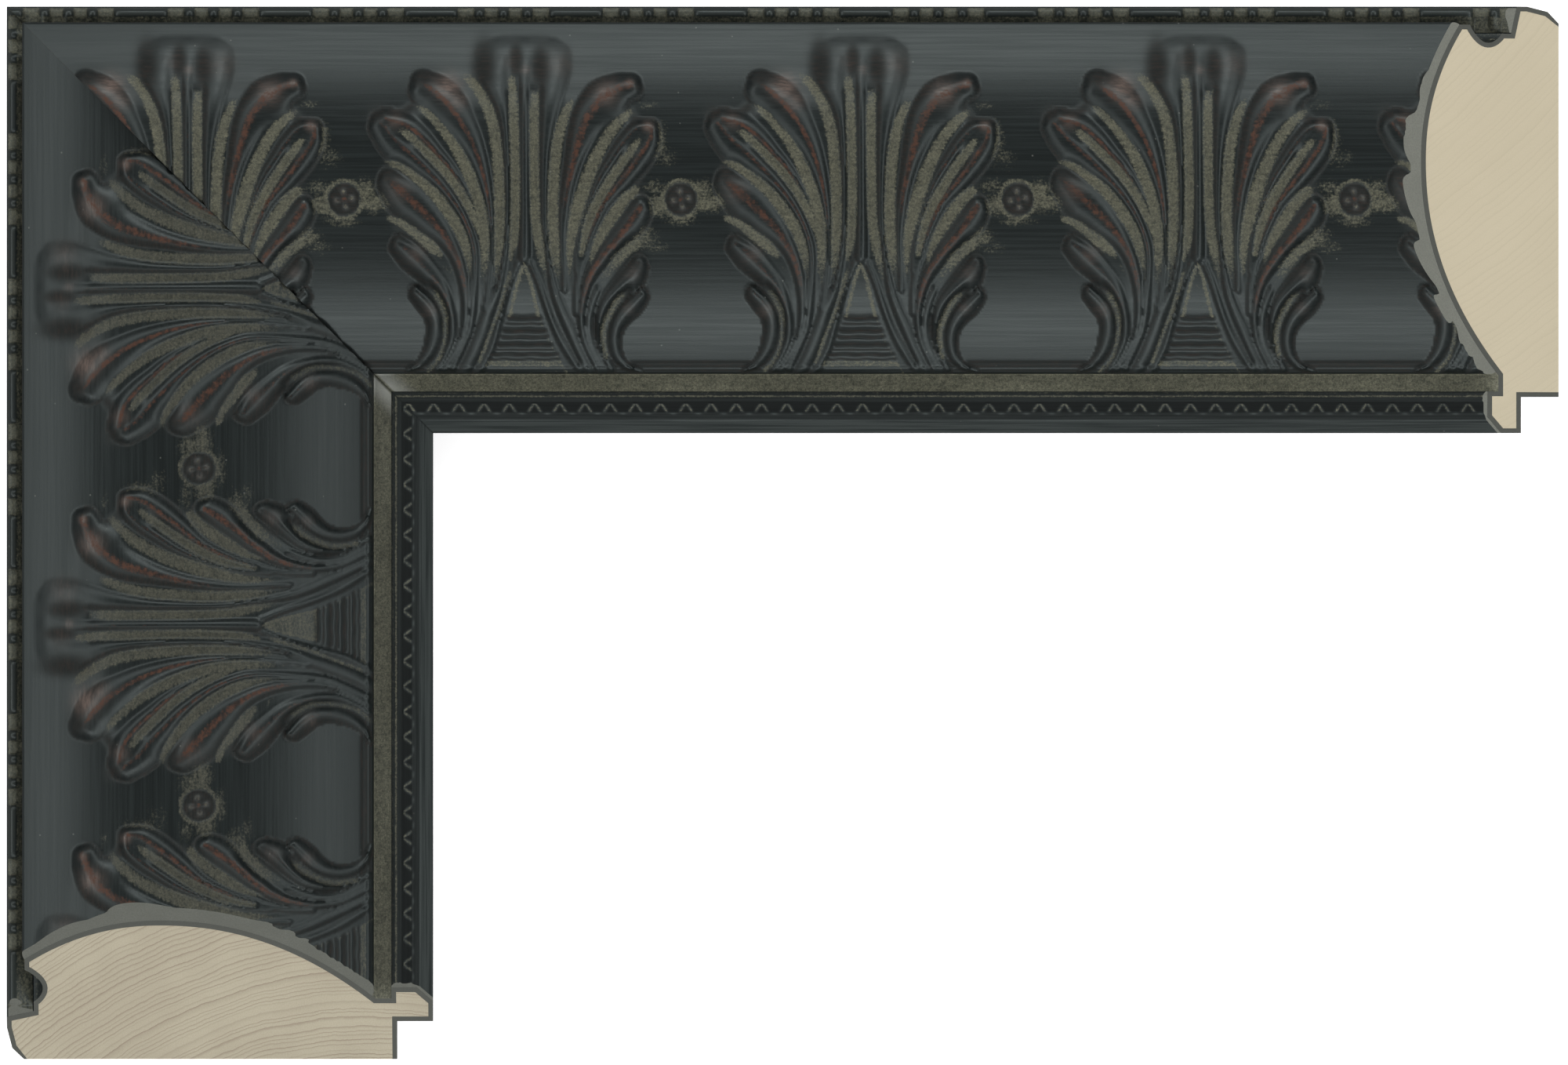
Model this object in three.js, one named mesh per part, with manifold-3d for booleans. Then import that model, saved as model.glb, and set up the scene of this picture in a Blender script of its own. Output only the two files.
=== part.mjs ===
// Corner sample of a picture frame moulding: a top arm and a side arm, mitred together at the outer
// corner and sawn off on a slope at their free ends. Each arm is a wooden rail with a dark coat, and
// carries a cast band of leaves and rosettes, a bead strip on its outer ledge and a thin strip on the
// lip at the sight edge. Millimetres, +Z up. The flat back lies on z = 0 and the origin is under the
// middle of the bounding box. The top arm runs along +X, the side arm runs along -Y from the corner.

import * as THREE from "three";
import { mergeVertices } from "three/addons/utils/BufferGeometryUtils.js";
import ManifoldModule from "manifold-3d";

const wasm = await ManifoldModule();
wasm.setup();

// Arms: lengths along the back from the outer corner to the sawn end.
const topLength = 291.3;
const sideLength = 197.5;
const mitreGap = 0.3;
const sawSlope = 1; // the end moves in by this share of the height, 1 is 45 degrees

// Rail section. Setbacks run inward from the outer edge, heights up from the back.
const railWidth = 80;
const backChamferWidth = 3.1;
const backChamferHeight = 6;
const ledgeWidth = 5.1;
const ledgeHeight = 8;
const ledgeRise = 1.1;
const shoulderRise = 1.8;
const coveHeight = 6;
const coveDepth = 2.5;
const edgeSetback = 3.5;
const edgeThickness = 2;
const crestSetback = 29;
const crestHeight = 26.2;
const faceRoundness = 2.15; // power of the fall on both sides of the crest
const filletWidth = 3;
const filletHeight = 11.5;
const lipWidth = 7.8;
const lipRise = 2.1;
const lipBevelWidth = 3;
const lipBevelDrop = 2.6;
const rabbetWidth = 6.8;
const rabbetDepth = 7.2;

// Cast strips laid on the coated rail.
const clearance = 0.3;
const bandThickness = 1.5;
const bandEdgeThickness = 0.6;
const bandEdgeRounding = 5;
const bandFootSetback = 0.6;
const lobeRoot = 0.5; // how far a lobe's foot lies under the band's surface
const beadBase = 1.1;
const beadRise = 1.7;
const beadInset = 0.35;
const beadInnerBevel = 2;
const crownRise = 0.85;
const crownOuterBevel = 2.4;
const crownInnerBevel = 0.8;

// Bead strip: three beads, then one bar, over and over.
const beadPeriod = 27.2;
const beadPitch = 4.5;
const beadLength = 2.3;
const beadsInGroup = 3;
const barGap = 2.75;
const barLength = beadPeriod - (beadsInGroup - 1) * beadPitch - beadLength - 2 * barGap;
const beadTopShare = 0.8; // length of a bead's top over its foot

// Leaf repeat along each arm, with one rosette after each leaf.
const leafSpacing = 63.05;
const leafGap = 9.05; // between the tips of neighbouring leaves
const leafTopSetback = 6;
const leafFootGap = 0.6; // from the leaf's foot to the band's inner edge
const rosetteStep = 29.8;
const rosetteSetback = 35.5;
const rosetteRadius = 2.8;
const rosetteRise = 1.9;

// Where each arm's patterns start, measured from the low end of its own length.
const topFirstLeaf = 34.1;
const topFirstBeads = 11.6;
const sideFirstLeaf = 18.4;
const sideFirstBeads = 1.9;

// Leaf carving, as shares of the leaf: across from the axis over leafReach (left is negative), down
// from the leaf's top over leafHeight. Each lobe is a ridge from its tip to its foot.
const lobes = [
  { path: [[-0.72, 0.14], [-0.4, 0.26], [-0.23, 0.55], [-0.31, 0.91]], width: 6.4, rise: 2.3 },
  { path: [[-0.99, 0.25], [-0.61, 0.37], [-0.38, 0.61], [-0.39, 0.87]], width: 7.2, rise: 2.5 },
  { path: [[-0.96, 0.43], [-0.68, 0.51], [-0.44, 0.69], [-0.46, 0.93]], width: 5.6, rise: 2.2 },
  { path: [[-0.9, 0.63], [-0.69, 0.7], [-0.52, 0.82], [-0.54, 0.98]], width: 4.6, rise: 2.1 },
  { path: [[-0.78, 0.77], [-0.65, 0.84], [-0.62, 0.92], [-0.71, 0.99]], width: 3.4, rise: 2.2 },
  { path: [[0.77, 0.14], [0.4, 0.28], [0.25, 0.56], [0.29, 0.91]], width: 6.4, rise: 2.3 },
  { path: [[0.89, 0.27], [0.6, 0.41], [0.41, 0.61], [0.36, 0.87]], width: 7.2, rise: 2.5 },
  { path: [[0.86, 0.48], [0.62, 0.61], [0.44, 0.75], [0.43, 0.93]], width: 5.6, rise: 2.2 },
  { path: [[0.8, 0.66], [0.61, 0.77], [0.5, 0.89], [0.55, 0.99]], width: 4.6, rise: 2.1 },
  { path: [[0.84, 0.77], [0.69, 0.84], [0.62, 0.92], [0.71, 0.99]], width: 3.4, rise: 2.2 },
  { path: [[-0.2, 0.01], [-0.2, 0.18], [-0.15, 0.55], [-0.34, 0.98]], width: 7, rise: 2 },
  { path: [[0, 0], [0, 0.22], [0, 0.45], [0, 0.66]], width: 5.2, rise: 1.8 },
  { path: [[0.2, 0.01], [0.2, 0.18], [0.17, 0.55], [0.32, 0.98]], width: 7, rise: 2 },
];
const lobeSpans = 4;
const lobeTip = 0.6; // width and rise at the tip, as a share of the fullest
const lobeSwellAt = 0.2;
const lobeStem = 0.45;
const lobeTaper = 1.3;
const bandFacets = 13;

// The ladder of short ribs between the two legs at the leaf's foot.
const ribCount = 5;
const ribTopShare = 0.82;
const ribFootShare = 0.98;
const ribTopReach = 2.6;
const ribFootReach = 6.4;
const ribWidth = 0.9;
const ribRise = 1.2;

const faceFootSetback = railWidth - lipWidth - filletWidth;
const bandFoot = faceFootSetback - bandFootSetback;
const leafReach = (leafSpacing - leafGap) / 2;
const leafHeight = bandFoot - leafFootGap - leafTopSetback;
const lipOuterSetback = railWidth - lipWidth;
const lipTop = filletHeight + lipRise;
const lipBevelSetback = railWidth - lipBevelWidth;
const shoulderTop = ledgeHeight + ledgeRise + shoulderRise;
const edgeHeight = shoulderTop + coveHeight + edgeThickness;

// Height of the coated rail's moulded face at a setback from the outer edge.
function faceHeight(setback) {
  const outer = setback < crestSetback;
  const span = outer ? crestSetback - edgeSetback : faceFootSetback - crestSetback;
  const drop = crestHeight - (outer ? edgeHeight : filletHeight);
  const share = Math.abs(setback - crestSetback) / span;
  return crestHeight - drop * share ** faceRoundness;
}

// A point of the face moved outward along the face's normal.
function faceOffset(setback, distance) {
  const step = 0.01;
  const slope = (faceHeight(setback + step) - faceHeight(setback - step)) / (2 * step);
  const length = Math.hypot(slope, 1);
  return [setback - (slope / length) * distance, faceHeight(setback) + distance / length];
}

// Points from one setback to another, evenly spaced, each made by a function of the setback.
function sample(from, to, count, pointAt) {
  return Array.from({ length: count + 1 }, (_, i) => pointAt(from + ((to - from) * i) / count));
}

// The hollow under the face's outer edge, from its upper end down to the shoulder.
function coveOutline() {
  const top = [edgeSetback, edgeHeight - edgeThickness];
  const bottom = [ledgeWidth, shoulderTop];
  return sample(0, 1, 6, (t) => {
    const bulge = coveDepth * Math.sin(Math.PI * t) ** 0.8;
    const setback = top[0] + (bottom[0] - top[0]) * t + bulge;
    return [setback, top[1] + (bottom[1] - top[1]) * t];
  });
}

function railOutline() {
  return [
    [backChamferWidth, 0],
    [railWidth - rabbetWidth, 0],
    [railWidth - rabbetWidth, rabbetDepth],
    [railWidth, rabbetDepth],
    [railWidth, lipTop - lipBevelDrop],
    [lipBevelSetback, lipTop],
    [lipOuterSetback, lipTop],
    [lipOuterSetback, filletHeight],
    ...sample(faceFootSetback, edgeSetback, 18, (w) => [w, faceHeight(w)]),
    ...coveOutline(),
    [ledgeWidth, ledgeHeight + ledgeRise],
    [0, ledgeHeight],
    [0, backChamferHeight],
    [backChamferWidth * 0.3, backChamferHeight * 0.35],
  ];
}

// Thickness of the leaf band over the rail, thinner towards the outer edge.
function bandDepth(setback) {
  const share = THREE.MathUtils.clamp((setback - edgeSetback) / bandEdgeRounding, 0, 1);
  return bandEdgeThickness + (bandThickness - bandEdgeThickness) * Math.sqrt(share);
}

function bandOutline() {
  const underside = sample(edgeSetback, bandFoot, bandFacets, (w) => faceOffset(w, clearance));
  const front = sample(bandFoot, edgeSetback, bandFacets, (w) => faceOffset(w, bandDepth(w)));
  return [...underside, ...front];
}

const bandFront = sample(edgeSetback, bandFoot, bandFacets, (w) => faceOffset(w, bandDepth(w)));

// Height of the band's plain front straight above a setback.
function bandHeight(setback) {
  const beyond = bandFront.findIndex((point) => point[0] > setback);
  const next = Math.max(1, beyond < 0 ? bandFront.length - 1 : beyond);
  const [before, after] = [bandFront[next - 1], bandFront[next]];
  return before[1] + ((after[1] - before[1]) * (setback - before[0])) / (after[0] - before[0]);
}

function ledgeTop(setback) {
  return ledgeHeight + (ledgeRise * setback) / ledgeWidth;
}

// The bead strip's plain part, on the ledge, bevelled down towards the shoulder.
function beadStripOutline() {
  const outer = beadInset;
  const inner = ledgeWidth - clearance;
  const bevel = inner - beadInnerBevel;
  return [
    [outer, ledgeTop(outer) + clearance],
    [inner, ledgeTop(inner) + clearance],
    [inner, ledgeTop(inner) + clearance + beadBase / 2],
    [bevel, ledgeTop(bevel) + clearance + beadBase],
    [outer, ledgeTop(outer) + clearance + beadBase],
  ];
}

// A thin cap over the lip: flat crown, a bevel on each side, and the lip's own bevel under it.
function sightEdgeOutline() {
  const underside = lipTop + clearance;
  const bevelSlope = lipBevelDrop / lipBevelWidth;
  const bevelGap = clearance * Math.hypot(1, bevelSlope);
  const bevelEnd = lipTop - lipBevelDrop + bevelGap;
  return [
    [lipOuterSetback, underside],
    [lipBevelSetback + (bevelGap - clearance) / bevelSlope, underside],
    [railWidth, bevelEnd],
    [railWidth, bevelEnd + crownRise * 0.75],
    [lipBevelSetback - crownInnerBevel, underside + crownRise],
    [lipOuterSetback + crownOuterBevel, underside + crownRise],
    [lipOuterSetback, underside + crownRise * 0.4],
  ];
}

// Solid between two plane ends from an outline of [setback, height] points, counter-clockwise with
// the setback to the right. In an arm's own frame x runs along it and y is minus the setback.
function prism(outline, startAt, endAt) {
  const corners = outline.map(([w, z]) => new THREE.Vector2(w, z));
  const caps = THREE.ShapeUtils.triangulateShape(corners, []);
  const count = outline.length;
  const positions = [];
  for (const end of [startAt, endAt]) {
    for (const [w, z] of outline) {
      positions.push(end(w, z), -w, z);
    }
  }
  const index = [];
  for (const [a, b, c] of caps) {
    index.push(a, b, c);
    index.push(count + a, count + c, count + b);
  }
  for (let i = 0; i < count; i += 1) {
    const j = (i + 1) % count;
    index.push(j, i, count + i);
    index.push(j, count + i, count + j);
  }
  const geometry = new THREE.BufferGeometry();
  geometry.setAttribute("position", new THREE.Float32BufferAttribute(positions, 3));
  geometry.setIndex(index);
  return geometry;
}

// Closed tube through rings of points, each ring listed the same way round.
function loft(rings) {
  const size = rings[0].length;
  const positions = rings.flat().flatMap((point) => point.toArray());
  const index = [];
  for (let i = 1; i < size - 1; i += 1) {
    const last = (rings.length - 1) * size;
    index.push(0, i + 1, i);
    index.push(last, last + i, last + i + 1);
  }
  for (let r = 0; r < rings.length - 1; r += 1) {
    for (let i = 0; i < size; i += 1) {
      const a = r * size + i;
      const b = r * size + ((i + 1) % size);
      index.push(a, b, b + size);
      index.push(a, b + size, a + size);
    }
  }
  const geometry = new THREE.BufferGeometry();
  geometry.setAttribute("position", new THREE.Float32BufferAttribute(positions, 3));
  geometry.setIndex(index);
  return geometry;
}

function solid(geometry) {
  const plain = geometry.clone();
  plain.deleteAttribute("normal");
  plain.deleteAttribute("uv");
  const merged = mergeVertices(plain, 1e-4);
  const mesh = new wasm.Mesh({
    numProp: 3,
    vertProperties: new Float32Array(merged.attributes.position.array),
    triVerts: new Uint32Array(merged.index.array),
  });
  return new wasm.Manifold(mesh);
}

function geometryOf(manifold) {
  const mesh = manifold.getMesh();
  const geometry = new THREE.BufferGeometry();
  geometry.setAttribute("position", new THREE.BufferAttribute(new Float32Array(mesh.vertProperties), 3));
  geometry.setIndex(new THREE.BufferAttribute(new Uint32Array(mesh.triVerts), 1));
  return geometry;
}

// How far a lobe has swelled, as a share of its full width and rise, from tip (0) to foot (1).
function lobeSwell(t) {
  const swelling = lobeTip + ((1 - lobeTip) * t) / lobeSwellAt;
  const tapering = Math.max(lobeStem, 1 - lobeTaper * (t - lobeSwellAt));
  return t < lobeSwellAt ? swelling : tapering;
}

// One lobe: a ridge with a sharp crest that follows a curve over the band's front.
function lobeGeometry(lobe, axis) {
  const at = lobe.path.map(
    ([across, down]) => new THREE.Vector3(axis + across * leafReach, leafTopSetback + down * leafHeight, 0),
  );
  const curve = new THREE.CatmullRomCurve3(at);
  const rings = sample(0, 1, lobeSpans, (t) => {
    const middle = curve.getPointAt(t);
    const along = curve.getTangentAt(t);
    const half = (lobe.width / 2) * lobeSwell(t);
    const left = [middle.x - along.y * half, middle.y + along.x * half];
    const right = [middle.x + along.y * half, middle.y - along.x * half];
    const crest = bandHeight(middle.y) + lobe.rise * lobeSwell(t);
    return [
      new THREE.Vector3(left[0], -left[1], bandHeight(left[1]) - lobeRoot),
      new THREE.Vector3(right[0], -right[1], bandHeight(right[1]) - lobeRoot),
      new THREE.Vector3(middle.x, -middle.y, crest),
    ];
  });
  return loft(rings);
}

function ribGeometries(axis) {
  return sample(0, 1, ribCount - 1, (t) => {
    const setback = leafTopSetback + leafHeight * (ribTopShare + (ribFootShare - ribTopShare) * t);
    const reach = ribTopReach + (ribFootReach - ribTopReach) * t;
    const rings = [-reach, reach].map((across) => [
      new THREE.Vector3(axis + across, -(setback + ribWidth), bandHeight(setback + ribWidth) - lobeRoot),
      new THREE.Vector3(axis + across, -(setback - ribWidth), bandHeight(setback - ribWidth) - lobeRoot),
      new THREE.Vector3(axis + across, -setback, bandHeight(setback) + ribRise),
    ]);
    return loft(rings);
  });
}

// A low knob with eight sides.
function rosetteGeometry(axis) {
  const sides = 8;
  const base = bandHeight(rosetteSetback);
  const levels = [
    [rosetteRadius, -lobeRoot],
    [rosetteRadius * 0.85, rosetteRise * 0.6],
    [rosetteRadius * 0.35, rosetteRise],
  ];
  const rings = levels.map(([radius, rise]) =>
    sample(0, 2 * Math.PI * (1 - 1 / sides), sides - 1, (angle) => {
      const across = axis + radius * Math.cos(angle);
      return new THREE.Vector3(across, radius * Math.sin(angle) - rosetteSetback, base + rise);
    }),
  );
  return loft(rings);
}

// Places of a repeat that starts at a phase and reaches past both ends of an arm.
function repeats(first, spacing, length) {
  const before = Math.ceil((first + spacing) / spacing);
  const total = before + Math.ceil(length / spacing) + 1;
  return Array.from({ length: total }, (_, i) => first + (i - before) * spacing);
}

// The two plane ends of each arm, as the place along it at a setback and height.
const mitreShift = mitreGap / Math.SQRT2;
const topArm = {
  name: "top",
  start: (w) => w + mitreShift,
  end: (w, z) => topLength - z * sawSlope,
  length: topLength,
  firstLeaf: topFirstLeaf,
  firstBeads: topFirstBeads,
};
const sideArm = {
  name: "side",
  start: (w, z) => z * sawSlope,
  end: (w) => sideLength - w - mitreShift,
  length: sideLength,
  firstLeaf: sideFirstLeaf,
  firstBeads: sideFirstBeads,
};

// Everything between an arm's two end planes, wider and taller than the arm.
function armSpace(arm) {
  const outline = [
    [-1, -1],
    [railWidth + 1, -1],
    [railWidth + 1, 2 * crestHeight],
    [-1, 2 * crestHeight],
  ];
  return solid(prism(outline, arm.start, arm.end));
}

// Joins carved pieces to a strip and trims them at the arm's ends.
function carvedStrip(arm, outline, carving) {
  const strip = solid(prism(outline, arm.start, arm.end));
  const carved = wasm.Manifold.union([strip, ...carving.map(solid)]);
  return geometryOf(carved.intersect(armSpace(arm)));
}

function leafBand(arm) {
  const carving = [];
  for (const axis of repeats(arm.firstLeaf, leafSpacing, arm.length)) {
    carving.push(...lobes.map((lobe) => lobeGeometry(lobe, axis)));
    carving.push(...ribGeometries(axis));
    carving.push(rosetteGeometry(axis + rosetteStep));
  }
  return carvedStrip(arm, bandOutline(), carving);
}

// One bead or bar: a block that tapers upward from the strip.
function beadGeometry(centre, length) {
  const section = [
    [ledgeWidth * 0.8, beadBase / 2, 1],
    [beadInset + 0.1, beadBase / 2, 1],
    [ledgeWidth * 0.2, beadRise + beadBase, beadTopShare],
    [ledgeWidth * 0.5, beadRise + beadBase, beadTopShare],
  ];
  const rings = [-length / 2, length / 2].map((reach) =>
    section.map(([w, rise, share]) => new THREE.Vector3(centre + reach * share, -w, ledgeTop(w) + rise)),
  );
  return loft(rings);
}

function beadStrip(arm) {
  const carving = [];
  for (const centre of repeats(arm.firstBeads, beadPeriod, arm.length)) {
    for (let i = 0; i < beadsInGroup; i += 1) {
      carving.push(beadGeometry(centre + (i - (beadsInGroup - 1) / 2) * beadPitch, beadLength));
    }
    carving.push(beadGeometry(centre + beadPeriod / 2, barLength));
  }
  return carvedStrip(arm, beadStripOutline(), carving);
}

const rawWood = new THREE.MeshStandardMaterial({ color: 0x33373a, roughness: 0.6, metalness: 0 });
const darkCompo = new THREE.MeshStandardMaterial({ color: 0x3f4444, roughness: 0.5, metalness: 0 });
const washedCompo = new THREE.MeshStandardMaterial({ color: 0x4a4a42, roughness: 0.65, metalness: 0 });

function pieces(arm) {
  const parts = [
    ["rail", prism(railOutline(), arm.start, arm.end), rawWood],
    ["leaf_band", leafBand(arm), darkCompo],
    ["bead_strip", beadStrip(arm), washedCompo],
    ["sight_edge", prism(sightEdgeOutline(), arm.start, arm.end), darkCompo],
  ];
  const group = new THREE.Group();
  for (const [name, geometry, material] of parts) {
    const mesh = new THREE.Mesh(geometry, material);
    mesh.name = `${arm.name}_${name}`;
    group.add(mesh);
  }
  return group;
}

const top = pieces(topArm);
top.position.set(-topLength / 2, sideLength / 2, 0);

const side = pieces(sideArm);
side.rotation.z = Math.PI / 2;
side.position.set(-topLength / 2, -sideLength / 2, 0);

const moulding = new THREE.Group();
moulding.add(top, side);

export default moulding;
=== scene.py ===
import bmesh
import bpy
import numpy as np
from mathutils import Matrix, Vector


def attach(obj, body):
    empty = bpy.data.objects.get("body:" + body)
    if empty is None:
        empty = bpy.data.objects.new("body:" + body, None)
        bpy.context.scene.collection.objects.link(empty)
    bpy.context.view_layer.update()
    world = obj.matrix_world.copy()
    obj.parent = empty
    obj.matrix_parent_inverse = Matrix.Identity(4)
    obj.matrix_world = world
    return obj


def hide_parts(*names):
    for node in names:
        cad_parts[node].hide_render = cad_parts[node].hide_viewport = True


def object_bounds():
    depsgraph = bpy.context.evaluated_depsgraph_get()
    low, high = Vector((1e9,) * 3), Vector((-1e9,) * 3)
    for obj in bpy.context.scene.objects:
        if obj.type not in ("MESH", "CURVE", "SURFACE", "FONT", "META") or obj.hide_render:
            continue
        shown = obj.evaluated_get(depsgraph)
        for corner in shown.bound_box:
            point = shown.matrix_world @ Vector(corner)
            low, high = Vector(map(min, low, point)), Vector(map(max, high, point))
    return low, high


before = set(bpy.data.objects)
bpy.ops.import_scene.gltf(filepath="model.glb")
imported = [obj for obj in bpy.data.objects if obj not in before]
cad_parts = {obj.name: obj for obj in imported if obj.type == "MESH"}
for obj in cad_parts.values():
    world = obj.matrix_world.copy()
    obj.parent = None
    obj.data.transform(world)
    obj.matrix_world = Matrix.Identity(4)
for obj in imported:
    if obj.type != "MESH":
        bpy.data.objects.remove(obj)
cad_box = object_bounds()

# Looks of a corner sample of a picture frame moulding: two arms with a cast leaf pattern, painted
# dark, with a taupe wash in the hollows and a red-brown rub on the ridges. Sizes are millimetres in
# an arm's own frame: place along the arm, setback from its outer edge, height over the flat back.

MM = 0.001

# Rail section, as in the solid parts.
RAIL_WIDTH = 80.0
BACK_CHAMFER_WIDTH = 3.1
BACK_CHAMFER_HEIGHT = 6.0
LEDGE_WIDTH = 5.1
LEDGE_HEIGHT = 8.0
LEDGE_RISE = 1.1
SHOULDER_RISE = 1.8
COVE_HEIGHT = 6.0
COVE_DEPTH = 2.5
EDGE_SETBACK = 3.5
EDGE_THICKNESS = 2.0
CREST_SETBACK = 29.0
CREST_HEIGHT = 26.2
FACE_ROUNDNESS = 2.15
FILLET_WIDTH = 3.0
FILLET_HEIGHT = 11.5
LIP_WIDTH = 7.8
LIP_RISE = 2.1
LIP_BEVEL_WIDTH = 3.0
LIP_BEVEL_DROP = 2.6
RABBET_WIDTH = 6.8
RABBET_DEPTH = 7.2
FACE_FOOT = RAIL_WIDTH - LIP_WIDTH - FILLET_WIDTH
LIP_SETBACK = RAIL_WIDTH - LIP_WIDTH
LIP_TOP = FILLET_HEIGHT + LIP_RISE
SHOULDER_TOP = LEDGE_HEIGHT + LEDGE_RISE + SHOULDER_RISE
EDGE_HEIGHT = SHOULDER_TOP + COVE_HEIGHT + EDGE_THICKNESS
COAT = 0.9  # thickness of the dark coat on the wood
SHARPEST_CORNER = 0.35  # limits how far the coat's inner corners move
FACE_STEPS = 44
COVE_STEPS = 15

# Cast strips.
SEAT = 0.02  # gap between a cast strip and the coat under it
MITRE_NOTCH = 0.18  # how far the painted skins dip into the mitre
OVERRUN = 4  # how far a strip is laid past its ends before it is cut
BAND_THICKNESS = 1.5
BAND_EDGE_THICKNESS = 0.6
BAND_EDGE_ROUNDING = 0.5
BAND_FOOT = FACE_FOOT - 0.6
BAND_TAPER = 0.9  # how far from its foot the band gets thinner
BEAD_PERIOD = 27.2
BEAD_PITCH = 4.5
BEAD_LENGTH = 2.3
BAR_LENGTH = 10.4
ARCH_PERIOD = 4.73
LEAF_SPACING = 63.05

# Cells of the carved surfaces.
EDGE_ROWS = 6
EDGE_ROWS_WIDTH = 1.2
LEAF_COLUMNS = 166
LEAF_ROW = 0.49
FOOT_ROW = 0.26
FOOT_START = 57.5
BEAD_COLUMNS = 109
BEAD_ROWS = 22
ARCH_COLUMNS = 20
SIGHT_ROW = 0.2
STRIP_CREASE = 60  # degrees from which an edge is sharp
RAIL_CREASE = 30

# Photograph: size of a pixel, and the pixel of the object's upper left corner.
PHOTO_WIDTH = 2000
PHOTO_HEIGHT = 1358
PIXEL = 0.147
CORNER_PIXEL = (8, 8)

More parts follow.
